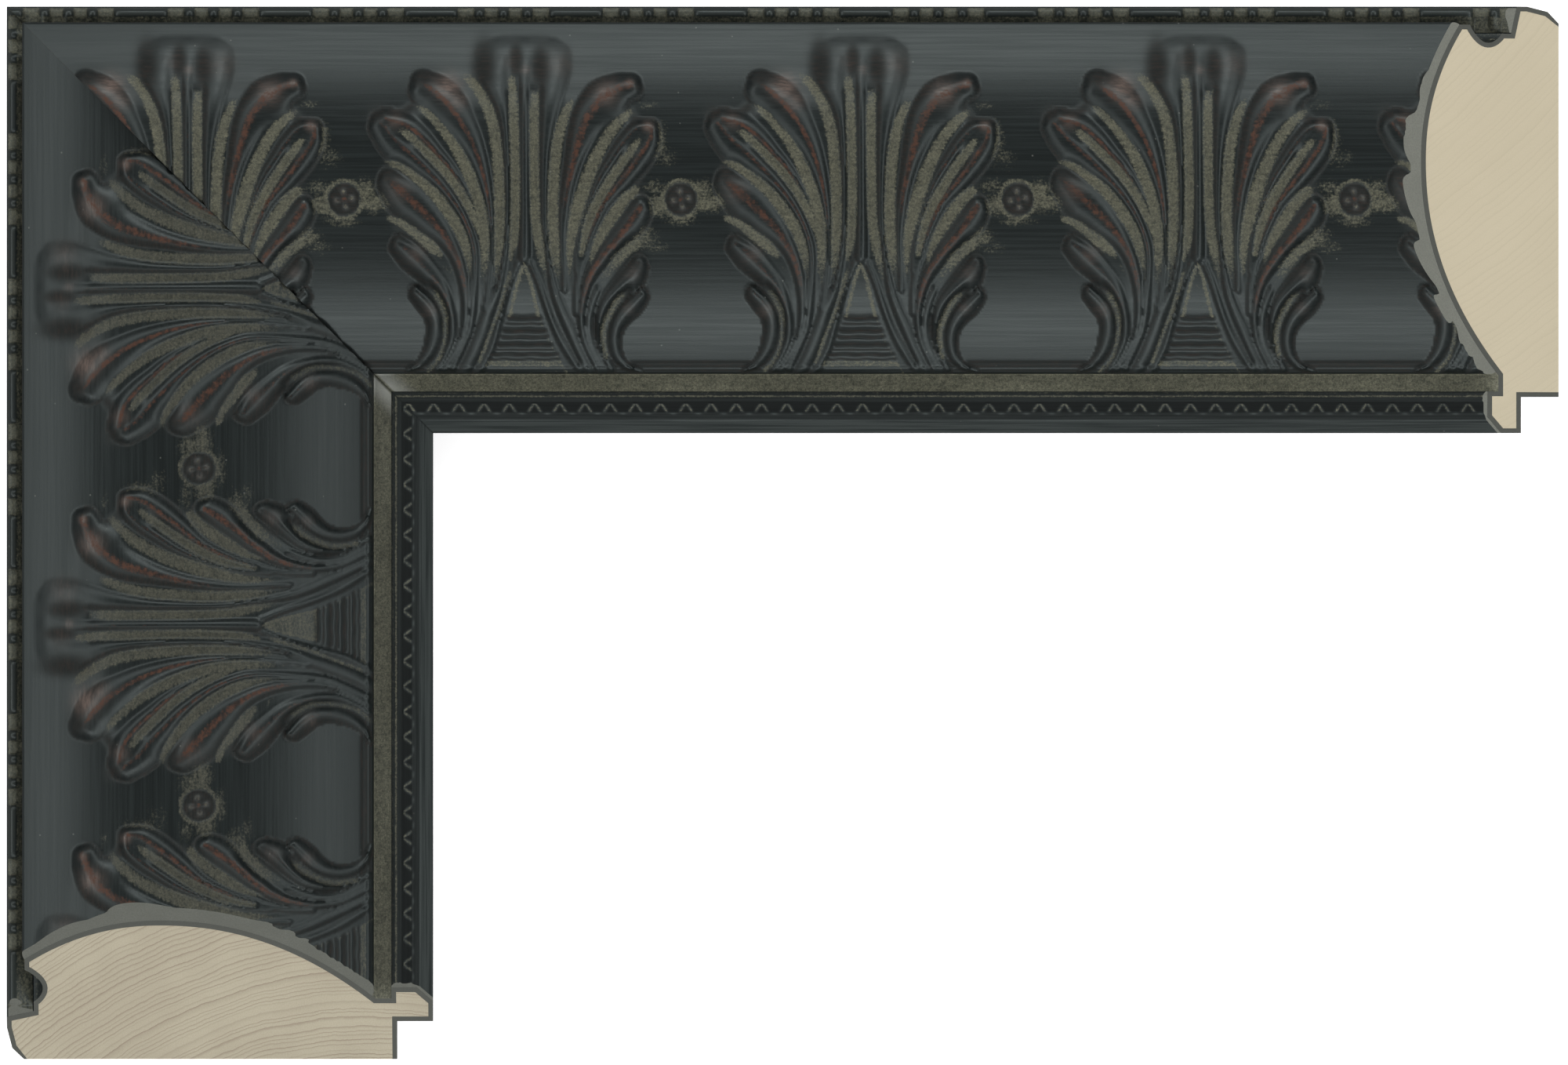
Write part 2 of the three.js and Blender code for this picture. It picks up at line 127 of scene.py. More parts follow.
# Crests of one leaf, from tip to foot: rise over the band there, and the path as place across from
# the leaf's axis, setback from the outer edge and half width of the lobe.
CRESTS = {
    "left_1": (2.2, 1.5, [
        (-18.8, 14.6, 2.6), (-16.3, 16.5, 3.5), (-13.5, 19.4, 3.4), (-10.6, 23.8, 2.5), (-8.7, 28.2, 1.9),
        (-7.2, 33.4, 1.3), (-6.2, 40.7, 1.0), (-6.2, 48.8, 0.9), (-7.2, 56.9, 0.7)]),
    "left_2_upper": (2.0, 1.4, [
        (-25.9, 21.2, 1.9), (-22.2, 22.3, 2.1), (-19.0, 24.8, 1.8), (-16.3, 27.8, 1.5), (-13.7, 30.7, 1.2),
        (-10.7, 35.6, 0.9), (-7.8, 42.9, 0.6)]),
    "left_2_lower": (2.0, 1.5, [
        (-26.9, 21.9, 2.1), (-24.3, 25.0, 2.6), (-20.9, 28.1, 2.4), (-17.2, 31.8, 1.6), (-13.5, 36.2, 1.2),
        (-10.9, 40.6, 0.9), (-9.3, 45.9, 0.9), (-9.3, 52.5, 0.7), (-10.0, 59.8, 0.7), (-11.3, 63.5, 0.7),
        (-13.4, 67.9, 0.7)]),
    "left_3": (2.1, 1.4, [
        (-25.3, 32.5, 2.1), (-23.1, 34.7, 2.8), (-19.7, 37.8, 2.9), (-16.0, 41.7, 2.2), (-13.4, 45.6, 1.5),
        (-11.8, 49.5, 1.2), (-10.9, 54.7, 0.9), (-11.3, 59.8, 0.9), (-12.6, 64.2, 0.9), (-15.1, 68.2, 0.7)]),
    "left_4": (1.9, 1.5, [
        (-23.5, 44.5, 1.6), (-21.0, 46.6, 2.1), (-18.1, 49.7, 1.9), (-15.6, 52.8, 1.5), (-14.0, 56.4, 1.0),
        (-13.4, 60.3, 0.9), (-14.0, 63.8, 0.7), (-16.5, 68.4, 0.6)]),
    "left_5": (1.6, 1.3, [
        (-20.3, 53.5, 1.2), (-18.2, 55.7, 1.5), (-16.9, 58.1, 1.6), (-16.6, 61.0, 1.6), (-17.5, 64.4, 1.3),
        (-19.3, 66.9, 0.9), (-21.9, 68.4, 0.4)]),
    "right_1": (2.2, 1.5, [
        (20.1, 14.7, 1.9), (17.8, 15.3, 2.6), (14.7, 17.2, 3.4), (11.9, 20.9, 3.1), (10.3, 25.3, 2.4),
        (9.0, 30.3, 1.6), (7.8, 36.3, 1.2), (7.1, 44.4, 1.0), (7.6, 53.2, 0.7)]),
    "right_2_upper": (2.0, 1.4, [
        (23.4, 22.6, 1.3), (21.0, 23.1, 1.5), (18.7, 25.6, 1.5), (16.6, 28.7, 1.3), (14.4, 32.0, 1.0),
        (12.2, 37.3, 0.9), (10.6, 42.9, 0.7), (9.8, 49.5, 0.6)]),
    "right_2_lower": (2.0, 1.4, [
        (24.0, 22.9, 1.5), (23.5, 25.3, 1.9), (21.2, 28.8, 2.1), (18.5, 32.5, 1.8), (15.1, 36.8, 1.3),
        (12.6, 42.2, 1.0), (11.0, 47.0, 0.9), (10.0, 52.5, 0.7), (9.8, 57.6, 0.6)]),
    "right_3": (2.1, 1.5, [
        (21.8, 37.6, 2.1), (20.4, 39.8, 2.4), (17.8, 43.5, 2.1), (14.8, 46.9, 1.6), (12.6, 50.3, 1.2),
        (11.3, 53.9, 0.9), (10.7, 58.4, 0.7), (11.3, 62.8, 0.7), (12.9, 66.4, 0.7), (14.0, 68.5, 0.6)]),
    "right_4": (1.9, 1.5, [
        (21.5, 48.2, 1.6), (20.1, 50.6, 2.1), (17.6, 53.2, 1.8), (15.4, 55.7, 1.3), (14.3, 58.4, 0.9),
        (14.1, 61.3, 0.7), (14.7, 64.7, 0.7), (16.3, 68.2, 0.7)]),
    "right_rib": (1.3, 1.2, [
        (13.8, 52.9, 0.6), (12.6, 56.2, 0.7), (12.1, 59.8, 0.7), (12.6, 63.5, 0.7), (14.1, 66.7, 0.7),
        (15.1, 68.5, 0.6)]),
    "right_5": (1.6, 1.3, [
        (22.0, 54.1, 1.2), (20.1, 56.2, 1.5), (18.4, 58.2, 1.5), (17.2, 60.6, 1.3), (16.9, 63.2, 1.2),
        (17.6, 65.9, 1.0), (19.4, 67.6, 0.7), (21.9, 68.5, 0.4)]),
    "cap_left": (2.0, 1.5, [
        (-4.3, 10.0, 3.7), (-5.1, 12.3, 3.7), (-4.9, 15.7, 2.5), (-4.1, 19.4, 1.5), (-3.4, 24.5, 1.0),
        (-3.1, 34.1, 0.9), (-3.4, 43.7, 0.9), (-5.1, 53.2, 1.0), (-6.9, 57.9, 1.2), (-8.1, 62.0, 1.5),
        (-9.7, 65.7, 1.3), (-11.3, 68.5, 1.2)]),
    "cap_middle": (1.7, 2.2, [
        (0.0, 8.5, 2.1), (0.0, 11.2, 1.3), (0.0, 16.5, 0.9), (0.1, 31.2, 0.9), (0.1, 42.9, 1.2),
        (0.0, 47.3, 1.3)]),
    "cap_right": (2.0, 1.5, [
        (5.4, 9.4, 3.1), (5.7, 11.8, 3.1), (5.1, 15.7, 2.6), (4.6, 20.1, 1.8), (4.1, 25.3, 1.3),
        (3.8, 34.1, 0.9), (4.1, 43.7, 0.9), (5.7, 53.2, 0.9), (6.9, 56.9, 1.0), (8.4, 60.6, 1.3),
        (9.6, 63.8, 1.3), (11.0, 66.7, 1.2), (12.2, 68.5, 0.9)]),
    "brow": (0.35, 0.35, [
        (-6.9, 9.1, 2.1), (-4.6, 8.2, 2.2), (-0.1, 7.6, 1.9), (4.6, 8.1, 2.1), (6.9, 9.1, 1.9)]),
    "leg_left": (1.6, 1.3, [
        (-1.2, 48.1, 0.8), (-2.5, 51.4, 0.6), (-3.9, 55.9, 0.6), (-5.0, 60.3, 0.6), (-6.2, 64.4, 0.7),
        (-7.9, 67.6, 0.7), (-8.8, 68.6, 0.6)]),
    "leg_right": (1.6, 1.3, [
        (1.3, 48.1, 0.8), (2.7, 51.7, 0.6), (4.1, 55.9, 0.6), (5.5, 59.7, 0.6), (7.1, 63.1, 0.7),
        (9.0, 66.1, 0.7), (10.6, 68.5, 0.6)]),
}

# Channels between the lobes, where the wash lies: place across, setback, half width.
CHANNELS = {
    "left_0": [
        (-13.1, 12.3, 0.3), (-10.6, 13.5, 0.9), (-8.2, 16.5, 1.0), (-6.2, 20.9, 1.2), (-5.1, 26.8, 1.2),
        (-4.6, 35.6, 1.2), (-4.7, 44.4, 1.0), (-5.4, 52.5, 0.4)],
    "left_1": [
        (-21.6, 17.9, 0.3), (-18.2, 20.1, 0.7), (-14.6, 24.1, 0.9), (-11.9, 28.2, 1.2), (-9.7, 33.1, 1.3),
        (-7.9, 39.2, 1.2), (-7.3, 46.6, 1.0), (-7.9, 55.4, 0.6)],
    "left_2_inner": [
        (-24.4, 23.1, 0.3), (-21.9, 24.1, 0.7), (-17.8, 27.9, 1.0), (-14.1, 31.9, 1.0), (-11.2, 36.2, 0.9),
        (-9.1, 40.4, 0.7), (-7.6, 43.8, 0.4)],
    "left_2": [
        (-27.5, 29.1, 0.1), (-24.0, 29.8, 0.6), (-20.9, 31.8, 0.9), (-17.1, 35.0, 1.2), (-14.1, 38.8, 1.3),
        (-11.9, 42.6, 1.2), (-10.6, 46.6, 0.9), (-10.0, 51.4, 0.3)],
    "left_3_upper": [
        (-26.3, 39.5, 0.4), (-23.1, 40.7, 0.7), (-20.1, 42.9, 1.0), (-17.5, 45.0, 1.2), (-15.6, 46.7, 0.6)],
    "left_3_lower": [
        (-16.0, 48.5, 0.4), (-14.0, 49.5, 0.7), (-12.8, 52.0, 0.6), (-11.9, 57.6, 0.4), (-12.3, 62.0, 0.3)],
    "left_4": [
        (-17.8, 52.6, 0.4), (-16.5, 54.2, 0.7), (-15.1, 56.9, 0.7), (-14.7, 59.4, 0.6), (-15.0, 62.9, 0.4),
        (-16.0, 66.1, 0.4), (-18.1, 68.4, 0.4)],
    "right_0": [
        (9.7, 16.2, 0.4), (7.5, 20.9, 1.0), (6.2, 26.0, 1.2), (5.6, 32.6, 1.2), (5.4, 40.0, 1.2),
        (5.9, 47.3, 1.0), (6.6, 52.5, 0.4)],
    "right_1": [
        (21.9, 18.8, 0.4), (18.8, 20.9, 0.9), (16.0, 24.0, 1.2), (13.8, 27.8, 1.3), (11.9, 32.3, 1.5),
        (10.0, 38.2, 1.5), (8.7, 44.4, 0.9), (8.5, 50.6, 0.4)],
    "right_2_inner": [
        (22.8, 24.1, 0.3), (21.0, 25.9, 0.7), (18.7, 29.0, 1.0), (16.3, 32.5, 1.0), (13.8, 36.8, 1.2),
        (11.9, 41.2, 0.9), (10.7, 46.7, 0.4)],
    "right_2": [
        (22.2, 33.8, 0.9), (19.3, 35.9, 1.2), (17.1, 38.8, 1.3), (15.0, 42.0, 1.2), (13.4, 45.1, 0.7),
        (12.5, 47.9, 0.3)],
    "right_3": [
        (22.5, 43.7, 1.0), (20.0, 45.3, 1.2), (17.8, 47.3, 1.3), (15.7, 50.1, 1.2), (14.3, 52.5, 0.6)],
    "right_4": [
        (19.6, 53.5, 0.4), (17.6, 55.0, 0.6), (16.2, 57.3, 0.7), (15.1, 59.8, 0.6), (14.8, 62.3, 0.6),
        (15.3, 65.7, 0.4)],
    "stem_left": [
        (-2.5, 9.4, 0.3), (-2.5, 12.1, 0.7), (-2.1, 16.5, 0.9), (-1.8, 25.3, 1.0), (-1.6, 35.6, 1.0),
        (-1.9, 43.7, 0.9), (-2.6, 47.6, 0.3)],
    "stem_right": [
        (2.6, 10.0, 0.4), (2.4, 12.8, 0.9), (2.1, 16.5, 0.9), (1.9, 22.3, 1.0), (2.1, 38.5, 1.0),
        (2.9, 45.1, 1.0), (4.1, 51.0, 0.4)],
    "fork_left": [
        (-2.1, 48.5, 0.3), (-3.2, 52.0, 0.4), (-4.9, 57.6, 0.4), (-6.0, 60.3, 0.3), (-8.4, 66.7, 0.3)],
    "fork_right": [
        (2.1, 48.1, 0.3), (4.1, 52.5, 0.3), (5.7, 57.3, 0.4), (7.1, 60.6, 0.4), (8.5, 63.5, 0.4),
        (10.1, 66.7, 0.4)],
}

# Wash in the channels: where it lies thinner than in the others, the setbacks from which it shows in
# the two stems, and the channels that keep it down to the leaf's foot.
THIN_WASH = {"fork_left": 0.75, "fork_right": 0.2, "left_3_lower": 0.6, "left_4": 0.65, "right_4": 0.75}
STEM_WASH = {"stem_left": (12.0, 14.5), "stem_right": (13.5, 18.5)}
WASHED_TO_FOOT = ("fork_left", "fork_right", "left_4", "right_4")
WASH_END = (43, 57)  # setbacks over which the other channels lose it

# Soft patches: place across, setback, reach (or reach across and reach inward), strength.
SMEARS = [  # wash that was rubbed past the leaf
    (25.2, 25.4, 2.0, 4.6, 0.72), (26.6, 28.5, 3.6, 2.6, 0.5), (24.5, 34.0, 3.0, 2.0, 0.6),
    (25.6, 37.4, 3.1, 2.4, 0.92), (33.4, 34.6, 2.8, 2.6, 0.78), (34.6, 36.9, 3.8, 2.2, 0.92),
    (29.2, 40.4, 4.2, 1.3, 0.65), (22.5, 43.4, 3.2, 2.6, 0.72), (24.8, 45.2, 3.0, 1.8, 0.52),
    (23.0, 18.6, 2.8, 1.3, 0.5),
]
PINK_SPOTS = [  # pink spots: partly worn paint, partly painted highlight
    (-14.2, 15.2, 2.2, 1.0), (-12.6, 17.8, 1.8, 0.6), (15.4, 16.4, 2.0, 0.8), (19.8, 14.6, 0.7, 0.9),
    (6.4, 11.0, 2.2, 0.25), (-2.6, 10.5, 1.6, 0.15), (0.3, 12.0, 0.8, 0.5), (-24.0, 21.6, 1.4, 0.5),
    (-23.2, 34.6, 2.0, 0.3), (-20.0, 46.5, 1.6, 0.3), (23.2, 22.6, 0.9, 0.9), (20.2, 50.2, 1.2, 0.25),
    (-17.6, 57.0, 1.3, 0.3), (19.4, 56.6, 1.1, 0.25),
]
TIP_SHADE = [  # painted shade on the lobes' tips
    (-18.6, 13.8, 1.7, 1.0), (-27.4, 20.4, 1.5, 0.95), (-25.3, 31.9, 1.6, 0.95), (-23.2, 43.4, 0.9, 0.8),
    (21.4, 15.4, 0.6, 0.7), (20.9, 48.6, 1.2, 0.8), (-6.2, 17.0, 1.0, 0.7),
]
CAP_OVALS = [  # painted shade: dark ovals at the tops of the cap's flutes and on its sides
    (-1.5, 10.4, 1.25, 3.2, 1.0), (3.0, 11.6, 1.6, 3.8, 1.0), (-7.6, 11.6, 2.1, 5.0, 1.0),
    (8.2, 11.0, 1.0, 3.4, 0.35),
]
CAP_EDGE = 3  # how sharply the ovals end, where the other patches have 2

# Rosette between two leaves: a dome with petals and a button, in a halo of wash.
ROSETTE_ACROSS = 29.4
ROSETTE_SETBACK = 36.3
ROSETTE_RADIUS = 2.9
ROSETTE_RISE = 1.2
PETALS = 4
PETAL_TURN = 0.6  # radians
PETAL_RADIUS = 1.4
PETAL_RISE = 0.55
BUTTON_RADIUS = 0.5
BUTTON_RISE = 0.4
HALO_RADIUS = 3.5

# Ground that the leaf's lobes stand on: its height over the band, its half widths by setback, its
# height under the cap and that of a channel within a lobe at the lobe's tip.
LEAF_FLOOR = 1.0
FLOOR_LEFT = [(14, 15), (22, 24.5), (38, 24.5), (48, 20), (60, 14), (69, 19)]
FLOOR_RIGHT = [(14, 15), (22, 21), (38, 21), (48, 18.5), (60, 14), (69, 19)]
CAP_FLOOR = 0.8
INNER_SILL = 1.7

# Ladder between the leaf's legs: its half width by setback, where its rungs start, the gaps between
# them as setback, half width and depth, and the setbacks of the last rung, which holds the most wash.
LADDER_TOP = 47
LADDER = [(47.6, 0), (48.6, 0.9), (51.0, 1.8), (58.2, 3.5), (62.9, 5.2), (68.6, 8.6)]
RUNG_START = 58.3
RUNG_GAPS = [
    (58.5, 0.42, 0.35), (59.5, 0.2, 0.2), (60.85, 0.48, 0.4), (62.0, 0.3, 0.35),
    (63.45, 0.42, 0.4), (64.4, 0.2, 0.2), (65.3, 0.3, 0.35), (66.2, 0.2, 0.2),
]
LAST_RUNG = (66.4, 67.6)

# Foot of the panel between two leaves: setback and half width of a groove and of the rim beyond it.
FOOT_GROOVE = (67.0, 0.35)
FOOT_RIM = (67.9, 0.3)
FOOT_RELIEF = 0.3

# How a lobe stands on the ground.
LOBE_SOFTNESS = 0.8  # power of its rounding
BROW_SOFTNESS = 1.5
TIP_SPREAD = 0.6  # how much wider it is near its tip on the side of the leaf's foot
LEAST_RISE = 0.3
FALL = 1.5  # steepness beyond its edge
BLEND = 0.3  # how softly two lobes run together

# How far the paint is rubbed off each crest and how wide, and how dark the painted shade is on its
# flank that looks back along the arm.
WORN = {
    "left_1": 1.0, "left_2_upper": 0.95, "left_2_lower": 0.7, "left_3": 0.85, "left_4": 0.5,
    "left_5": 0.45, "right_1": 0.9, "right_2_upper": 0.6, "right_2_lower": 0.9, "right_3": 0.9,
    "right_4": 0.35, "right_5": 0.35, "cap_middle": 0.4,
}
RUB_WIDTH = {"left_3": 1.7, "right_1": 1.8, "right_3": 1.6, "left_4": 1.5, "right_2_lower": 1.2}
FLANK = {
    "left_1": 0.1, "left_2_lower": 0.15, "left_3": 0.55, "left_4": 0.7, "left_5": 1.0,
    "right_1": 1.0, "cap_left": 1.0, "cap_right": 0.9, "cap_middle": 0.8, "brow": 0.7,
}
PLAIN_FLANK = 0.75

# Bead strip: its outer and inner edge, and heights by setback of its beads and of the ground between.
BEAD_EDGES = (0.3, LEDGE_WIDTH - 0.2)
BEAD_TOPS = [
    (0.3, 10.5), (0.6, 11.2), (1.0, 11.5), (1.7, 11.6), (2.4, 11.3), (3.2, 10.8), (4.0, 10.3), (4.9, 9.8),
]
BEAD_GROUND = [(0.3, 9.6), (0.8, 10.1), (1.8, 10.2), (3.0, 9.8), (4.9, 9.4)]
BEAD_ROUNDING = 0.6

# Sight edge: heights by setback of its plain section, and setbacks of what stands on it.
SIGHT_SECTION = [
    (72.2, 13.9), (72.5, 14.2), (72.9, 14.45), (73.3, 14.58), (73.5, 14.42), (73.7, 14.56), (73.95, 14.58),
    (74.15, 14.35), (76.2, 14.3), (76.5, 14.15), (77.7, 13.75), (77.85, 13.5), (78.0, 13.42), (80.0, 11.65),
]
ARCH_TOP = 74.55
ARCH_DEPTH = 1.5
ARCH_SPREAD = 1.1
DASH_SETBACK = 76.3
DROP_SETBACK = 76.9
BEVEL_START = 77.6

# Material slots: painted and sawn, and on a rail the cut edge of its coat. Masks of the paint; shade is
# painted shade.
PAINTED, SAWN, COAT_EDGE = 0, 1, 2
MASKS = ("wash", "rub", "rose", "shade")

# Camera, floor and lights: metres, but millimetres for the lens and its sensor.
LENS = 1000
SENSOR = 36
CAMERA_REACH = 100
FLOOR_REACH = 2.0
FLOOR_DROP = 0.0002
LIGHT_DISTANCE = 0.65
TOP_ARM = (0.01, 0.06, 0.02)
SIDE_ARM = (-0.105, -0.01, 0.02)
MIDDLE = (0, 0, 0.02)

# Lights: name, aim, azimuth, elevation, height, width, radiance.
LIGHTS = [
    ("right", SIDE_ARM, 0, 30, 0.21, 0.5, 1.8),
    ("far", TOP_ARM, 90, 36, 0.34, 0.34, 3.3),
    ("left", SIDE_ARM, 180, 36, 0.3, 0.5, 1.95),
    ("near", TOP_ARM, -90, 30, 0.2, 0.4, 3.8),
]
LIGHTS += [(f"corner_{turn}", MIDDLE, turn, 35, 0.24, 0.42, 2.0) for turn in (45, 135, 225, 315)]


def smoothstep(low, high, value):
    share = np.clip((value - low) / (high - low), 0, 1)
    return share * share * (3 - 2 * share)


def fade_out(low, high, value):
    return 1 - smoothstep(low, high, value)


def bell(distance, reach):
    return np.exp(-((distance / reach) ** 2))


def profile(setback, table):
    """Value at a setback from a table of setbacks and values."""
    places, values = zip(*table)
    return np.interp(setback, places, values)


def catmull_rom(points, steps=4):
    """Rows of a smooth curve through the given rows."""
    rows = np.array(points, float)
    padded = np.vstack([2 * rows[0] - rows[1], rows, 2 * rows[-1] - rows[-2]])
    out = []
    for i in range(1, len(padded) - 2):
        a, b, c, d = padded[i - 1 : i + 3]
        for t in np.linspace(0, 1, steps, endpoint=False):
            curve = 2 * b + (c - a) * t + (2 * a - 5 * b + 4 * c - d) * t**2 + (3 * b - a - 3 * c + d) * t**3
            out.append(curve / 2)
    out.append(rows[-1])
    return np.array(out)


def wrap(across, centre):
    """Distance across from a centre, the short way round the repeat."""
    return (across - centre + LEAF_SPACING / 2) % LEAF_SPACING - LEAF_SPACING / 2


def near_path(points, across, setback):
    """Distance to a path, and at its nearest point the half width, the share of the length gone by
    and how much the place lies on the foot's side of it."""
    path = catmull_rom(points)
    centre = path[:, 0].mean()
    x = wrap(across, centre) + centre
    lengths = np.hypot(*np.diff(path[:, :2], axis=0).T)
    starts = np.concatenate([[0], np.cumsum(lengths)])
    distance = np.full(x.shape, 1e9)
    width = np.ones(x.shape)
    share = np.zeros(x.shape)
    below = np.zeros(x.shape)
    for i, (a, b) in enumerate(zip(path[:-1], path[1:])):
        run = b[:2] - a[:2]
        t = ((x - a[0]) * run[0] + (setback - a[1]) * run[1]) / max(run @ run, 1e-9)
        t = np.clip(t, 0, 1)
        here = np.hypot(x - a[0] - run[0] * t, setback - a[1] - run[1] * t)
        closer = here < distance
        distance = np.where(closer, here, distance)
        width = np.where(closer, a[2] + (b[2] - a[2]) * t, width)
        share = np.where(closer, (starts[i] + lengths[i] * t) / starts[-1], share)
        below = np.where(closer, (setback - a[1] - run[1] * t) / np.maximum(here, 0.1), below)
    return distance, width, share, np.clip(below, 0, 1)


# Rail and band sections.
def face_height(setback):
    outer = setback < CREST_SETBACK
    span = np.where(outer, CREST_SETBACK - EDGE_SETBACK, FACE_FOOT - CREST_SETBACK)
    drop = CREST_HEIGHT - np.where(outer, EDGE_HEIGHT, FILLET_HEIGHT)
    return CREST_HEIGHT - drop * (np.abs(setback - CREST_SETBACK) / span) ** FACE_ROUNDNESS


def face_offset(setback, distance):
    """Points of the rail's face moved out along its normal, as rows of setback and height."""
    step = 0.01
    slope = (face_height(setback + step) - face_height(setback - step)) / (2 * step)
    length = np.hypot(slope, 1)
    return np.stack([setback - slope / length * distance, face_height(setback) + distance / length], axis=-1)


def band_depth(setback):
    rounding = 1 - (1 - np.clip((setback - EDGE_SETBACK) / BAND_EDGE_ROUNDING, 0, 1)) ** 2
    taper = 1 - 0.7 * np.clip((setback - BAND_FOOT + BAND_TAPER) / BAND_TAPER, 0, 1) ** 2
    return (BAND_EDGE_THICKNESS + (BAND_THICKNESS - BAND_EDGE_THICKNESS) * rounding) * taper


def cove_outline():
    t = np.linspace(0, 1, COVE_STEPS)
    top = np.array([EDGE_SETBACK, EDGE_HEIGHT - EDGE_THICKNESS])
    bottom = np.array([LEDGE_WIDTH, SHOULDER_TOP])
    points = top + (bottom - top) * t[:, None]
    points[:, 0] += COVE_DEPTH * np.sin(np.pi * t) ** 0.8
    return points


def rail_outline():
    """Outline of the coated rail, from the back's outer end round the front to its inner end."""
    face = face_offset(np.linspace(EDGE_SETBACK, BAND_FOOT - 0.2, FACE_STEPS), 0)
    return np.vstack([
        [BACK_CHAMFER_WIDTH, 0],
        [BACK_CHAMFER_WIDTH * 0.3, BACK_CHAMFER_HEIGHT * 0.35],
        [0, BACK_CHAMFER_HEIGHT],
        [0, LEDGE_HEIGHT],
        [LEDGE_WIDTH, LEDGE_HEIGHT + LEDGE_RISE],
        cove_outline()[::-1],
        face,
        [FACE_FOOT, FILLET_HEIGHT],
        [LIP_SETBACK, FILLET_HEIGHT],
        [LIP_SETBACK, LIP_TOP],
        [RAIL_WIDTH - LIP_BEVEL_WIDTH, LIP_TOP],
        [RAIL_WIDTH, LIP_TOP - LIP_BEVEL_DROP],
        [RAIL_WIDTH, RABBET_DEPTH],
        [RAIL_WIDTH - RABBET_WIDTH, RABBET_DEPTH],
        [RAIL_WIDTH - RABBET_WIDTH, 0],
    ])


def inset(outline, depth):
    """An open outline moved to its right by a depth, corner by corner."""
    runs = np.diff(outline, axis=0)
    runs /= np.linalg.norm(runs, axis=1, keepdims=True)
    normals = np.stack([runs[:, 1], -runs[:, 0]], axis=1)
    before = np.vstack([normals[:1], normals])
    after = np.vstack([normals, normals[-1:]])
    corner = before + after
    corner /= np.maximum((corner * before).sum(axis=1, keepdims=True), SHARPEST_CORNER)
    moved = outline + corner * depth
    moved[[0, -1], 1] = 0
    return moved


class Arm:
    """One arm: where its own frame lies in the object, its length and its two ends.

    seam gives the distance from the mitre along the arm, start and end where the arm starts and
    ends at a setback and height. mitre and sawn are the end planes, each a point and a normal.
    """

    def __init__(self, name, origin, run, inward, length, mitre_first, phases, panel_wash):
        self.name = name
        self.origin = np.array(origin)
        self.run = np.array(run)
        self.inward = np.array(inward)
        self.length = length
        self.phases = phases
        self.panel_wash = panel_wash
        if mitre_first:
            self.seam = lambda s, w: s - w
            self.start = lambda w, z: w + 0 * z
            self.end = lambda w, z: length - z
            self.mitre = ((0, 0, 0), (-1, 1, 0))
            self.sawn = ((length, 0, 0), (1, 0, 1))
        else:
            self.seam = lambda s, w: length - w - s
            self.start = lambda w, z: z + 0 * w
            self.end = lambda w, z: length - w + 0 * z
            self.mitre = ((length, 0, 0), (1, 1, 0))
            self.sawn = ((0, 0, 0), (-1, 0, 1))

    def place(self, along, setback, height):
        """Points in metres, in the object's frame."""
        flat = self.origin + np.multiply.outer(along, self.run) + np.multiply.outer(setback, self.inward)
        return np.concatenate([flat, np.asarray(height)[..., None]], axis=-1) * MM

    def plane(self, plane):
        """A plane's point and outward normal in the object's frame."""
        (along, setback, height), normal = plane
        point = self.place(np.array(along), np.array(setback), np.array(height))
        flat = normal[0] * self.run + normal[1] * self.inward
        return Vector(point), Vector((*flat, normal[2])).normalized()


def set_attribute(mesh, name, values):
    kind = "FLOAT_VECTOR" if values.ndim == 2 else "FLOAT"
    field = "vector" if values.ndim == 2 else "value"
    attribute = mesh.attributes.new(name, kind, "POINT")
    attribute.data.foreach_set(field, np.ascontiguousarray(values, dtype=np.float32).ravel())


def arm_mesh(name, arm, local, faces, masks):
    """Mesh from points in the arm's own frame, which are kept for its material like the masks."""
    mesh = bpy.data.meshes.new(name)
    mesh.from_pydata(arm.place(*local.T).tolist(), [], faces)
    set_attribute(mesh, "arm", local)
    set_attribute(mesh, "seam", arm.seam(local[:, 0], local[:, 1]))
    for mask in MASKS:
        set_attribute(mesh, mask, masks.get(mask, np.zeros(len(local))))
    return mesh


def make_object(name, mesh, materials):
    piece = bpy.data.objects.new(name, mesh)
    bpy.context.collection.objects.link(piece)
    for material in materials:
        mesh.materials.append(material)
    return piece


def cut(bm, plane, slot):
    """Trims a mesh at a plane and closes it there with a face of the given material slot."""
    point, normal = plane
    geom = bm.verts[:] + bm.edges[:] + bm.faces[:]
    result = bmesh.ops.bisect_plane(
        bm, geom=geom, dist=1e-7, plane_co=point, plane_no=normal, clear_outer=True
    )
    edges = [item for item in result["geom_cut"] if isinstance(item, bmesh.types.BMEdge)]
    for face in bmesh.ops.edgenet_fill(bm, edges=edges)["faces"]:
        face.material_index = slot


def finish_mesh(bm, mesh, crease):
    """Writes the mesh with smooth shading, and with sharp edges at creases and where materials meet."""
    bmesh.ops.recalc_face_normals(bm, faces=bm.faces)
    for face in bm.faces:
        face.smooth = True
    for edge in bm.edges:
        first, second = edge.link_faces
        steep = first.normal.angle(second.normal, 0) > np.radians(crease)
        edge.smooth = not steep and first.material_index == second.material_index
    bm.to_mesh(mesh)
    bm.free()


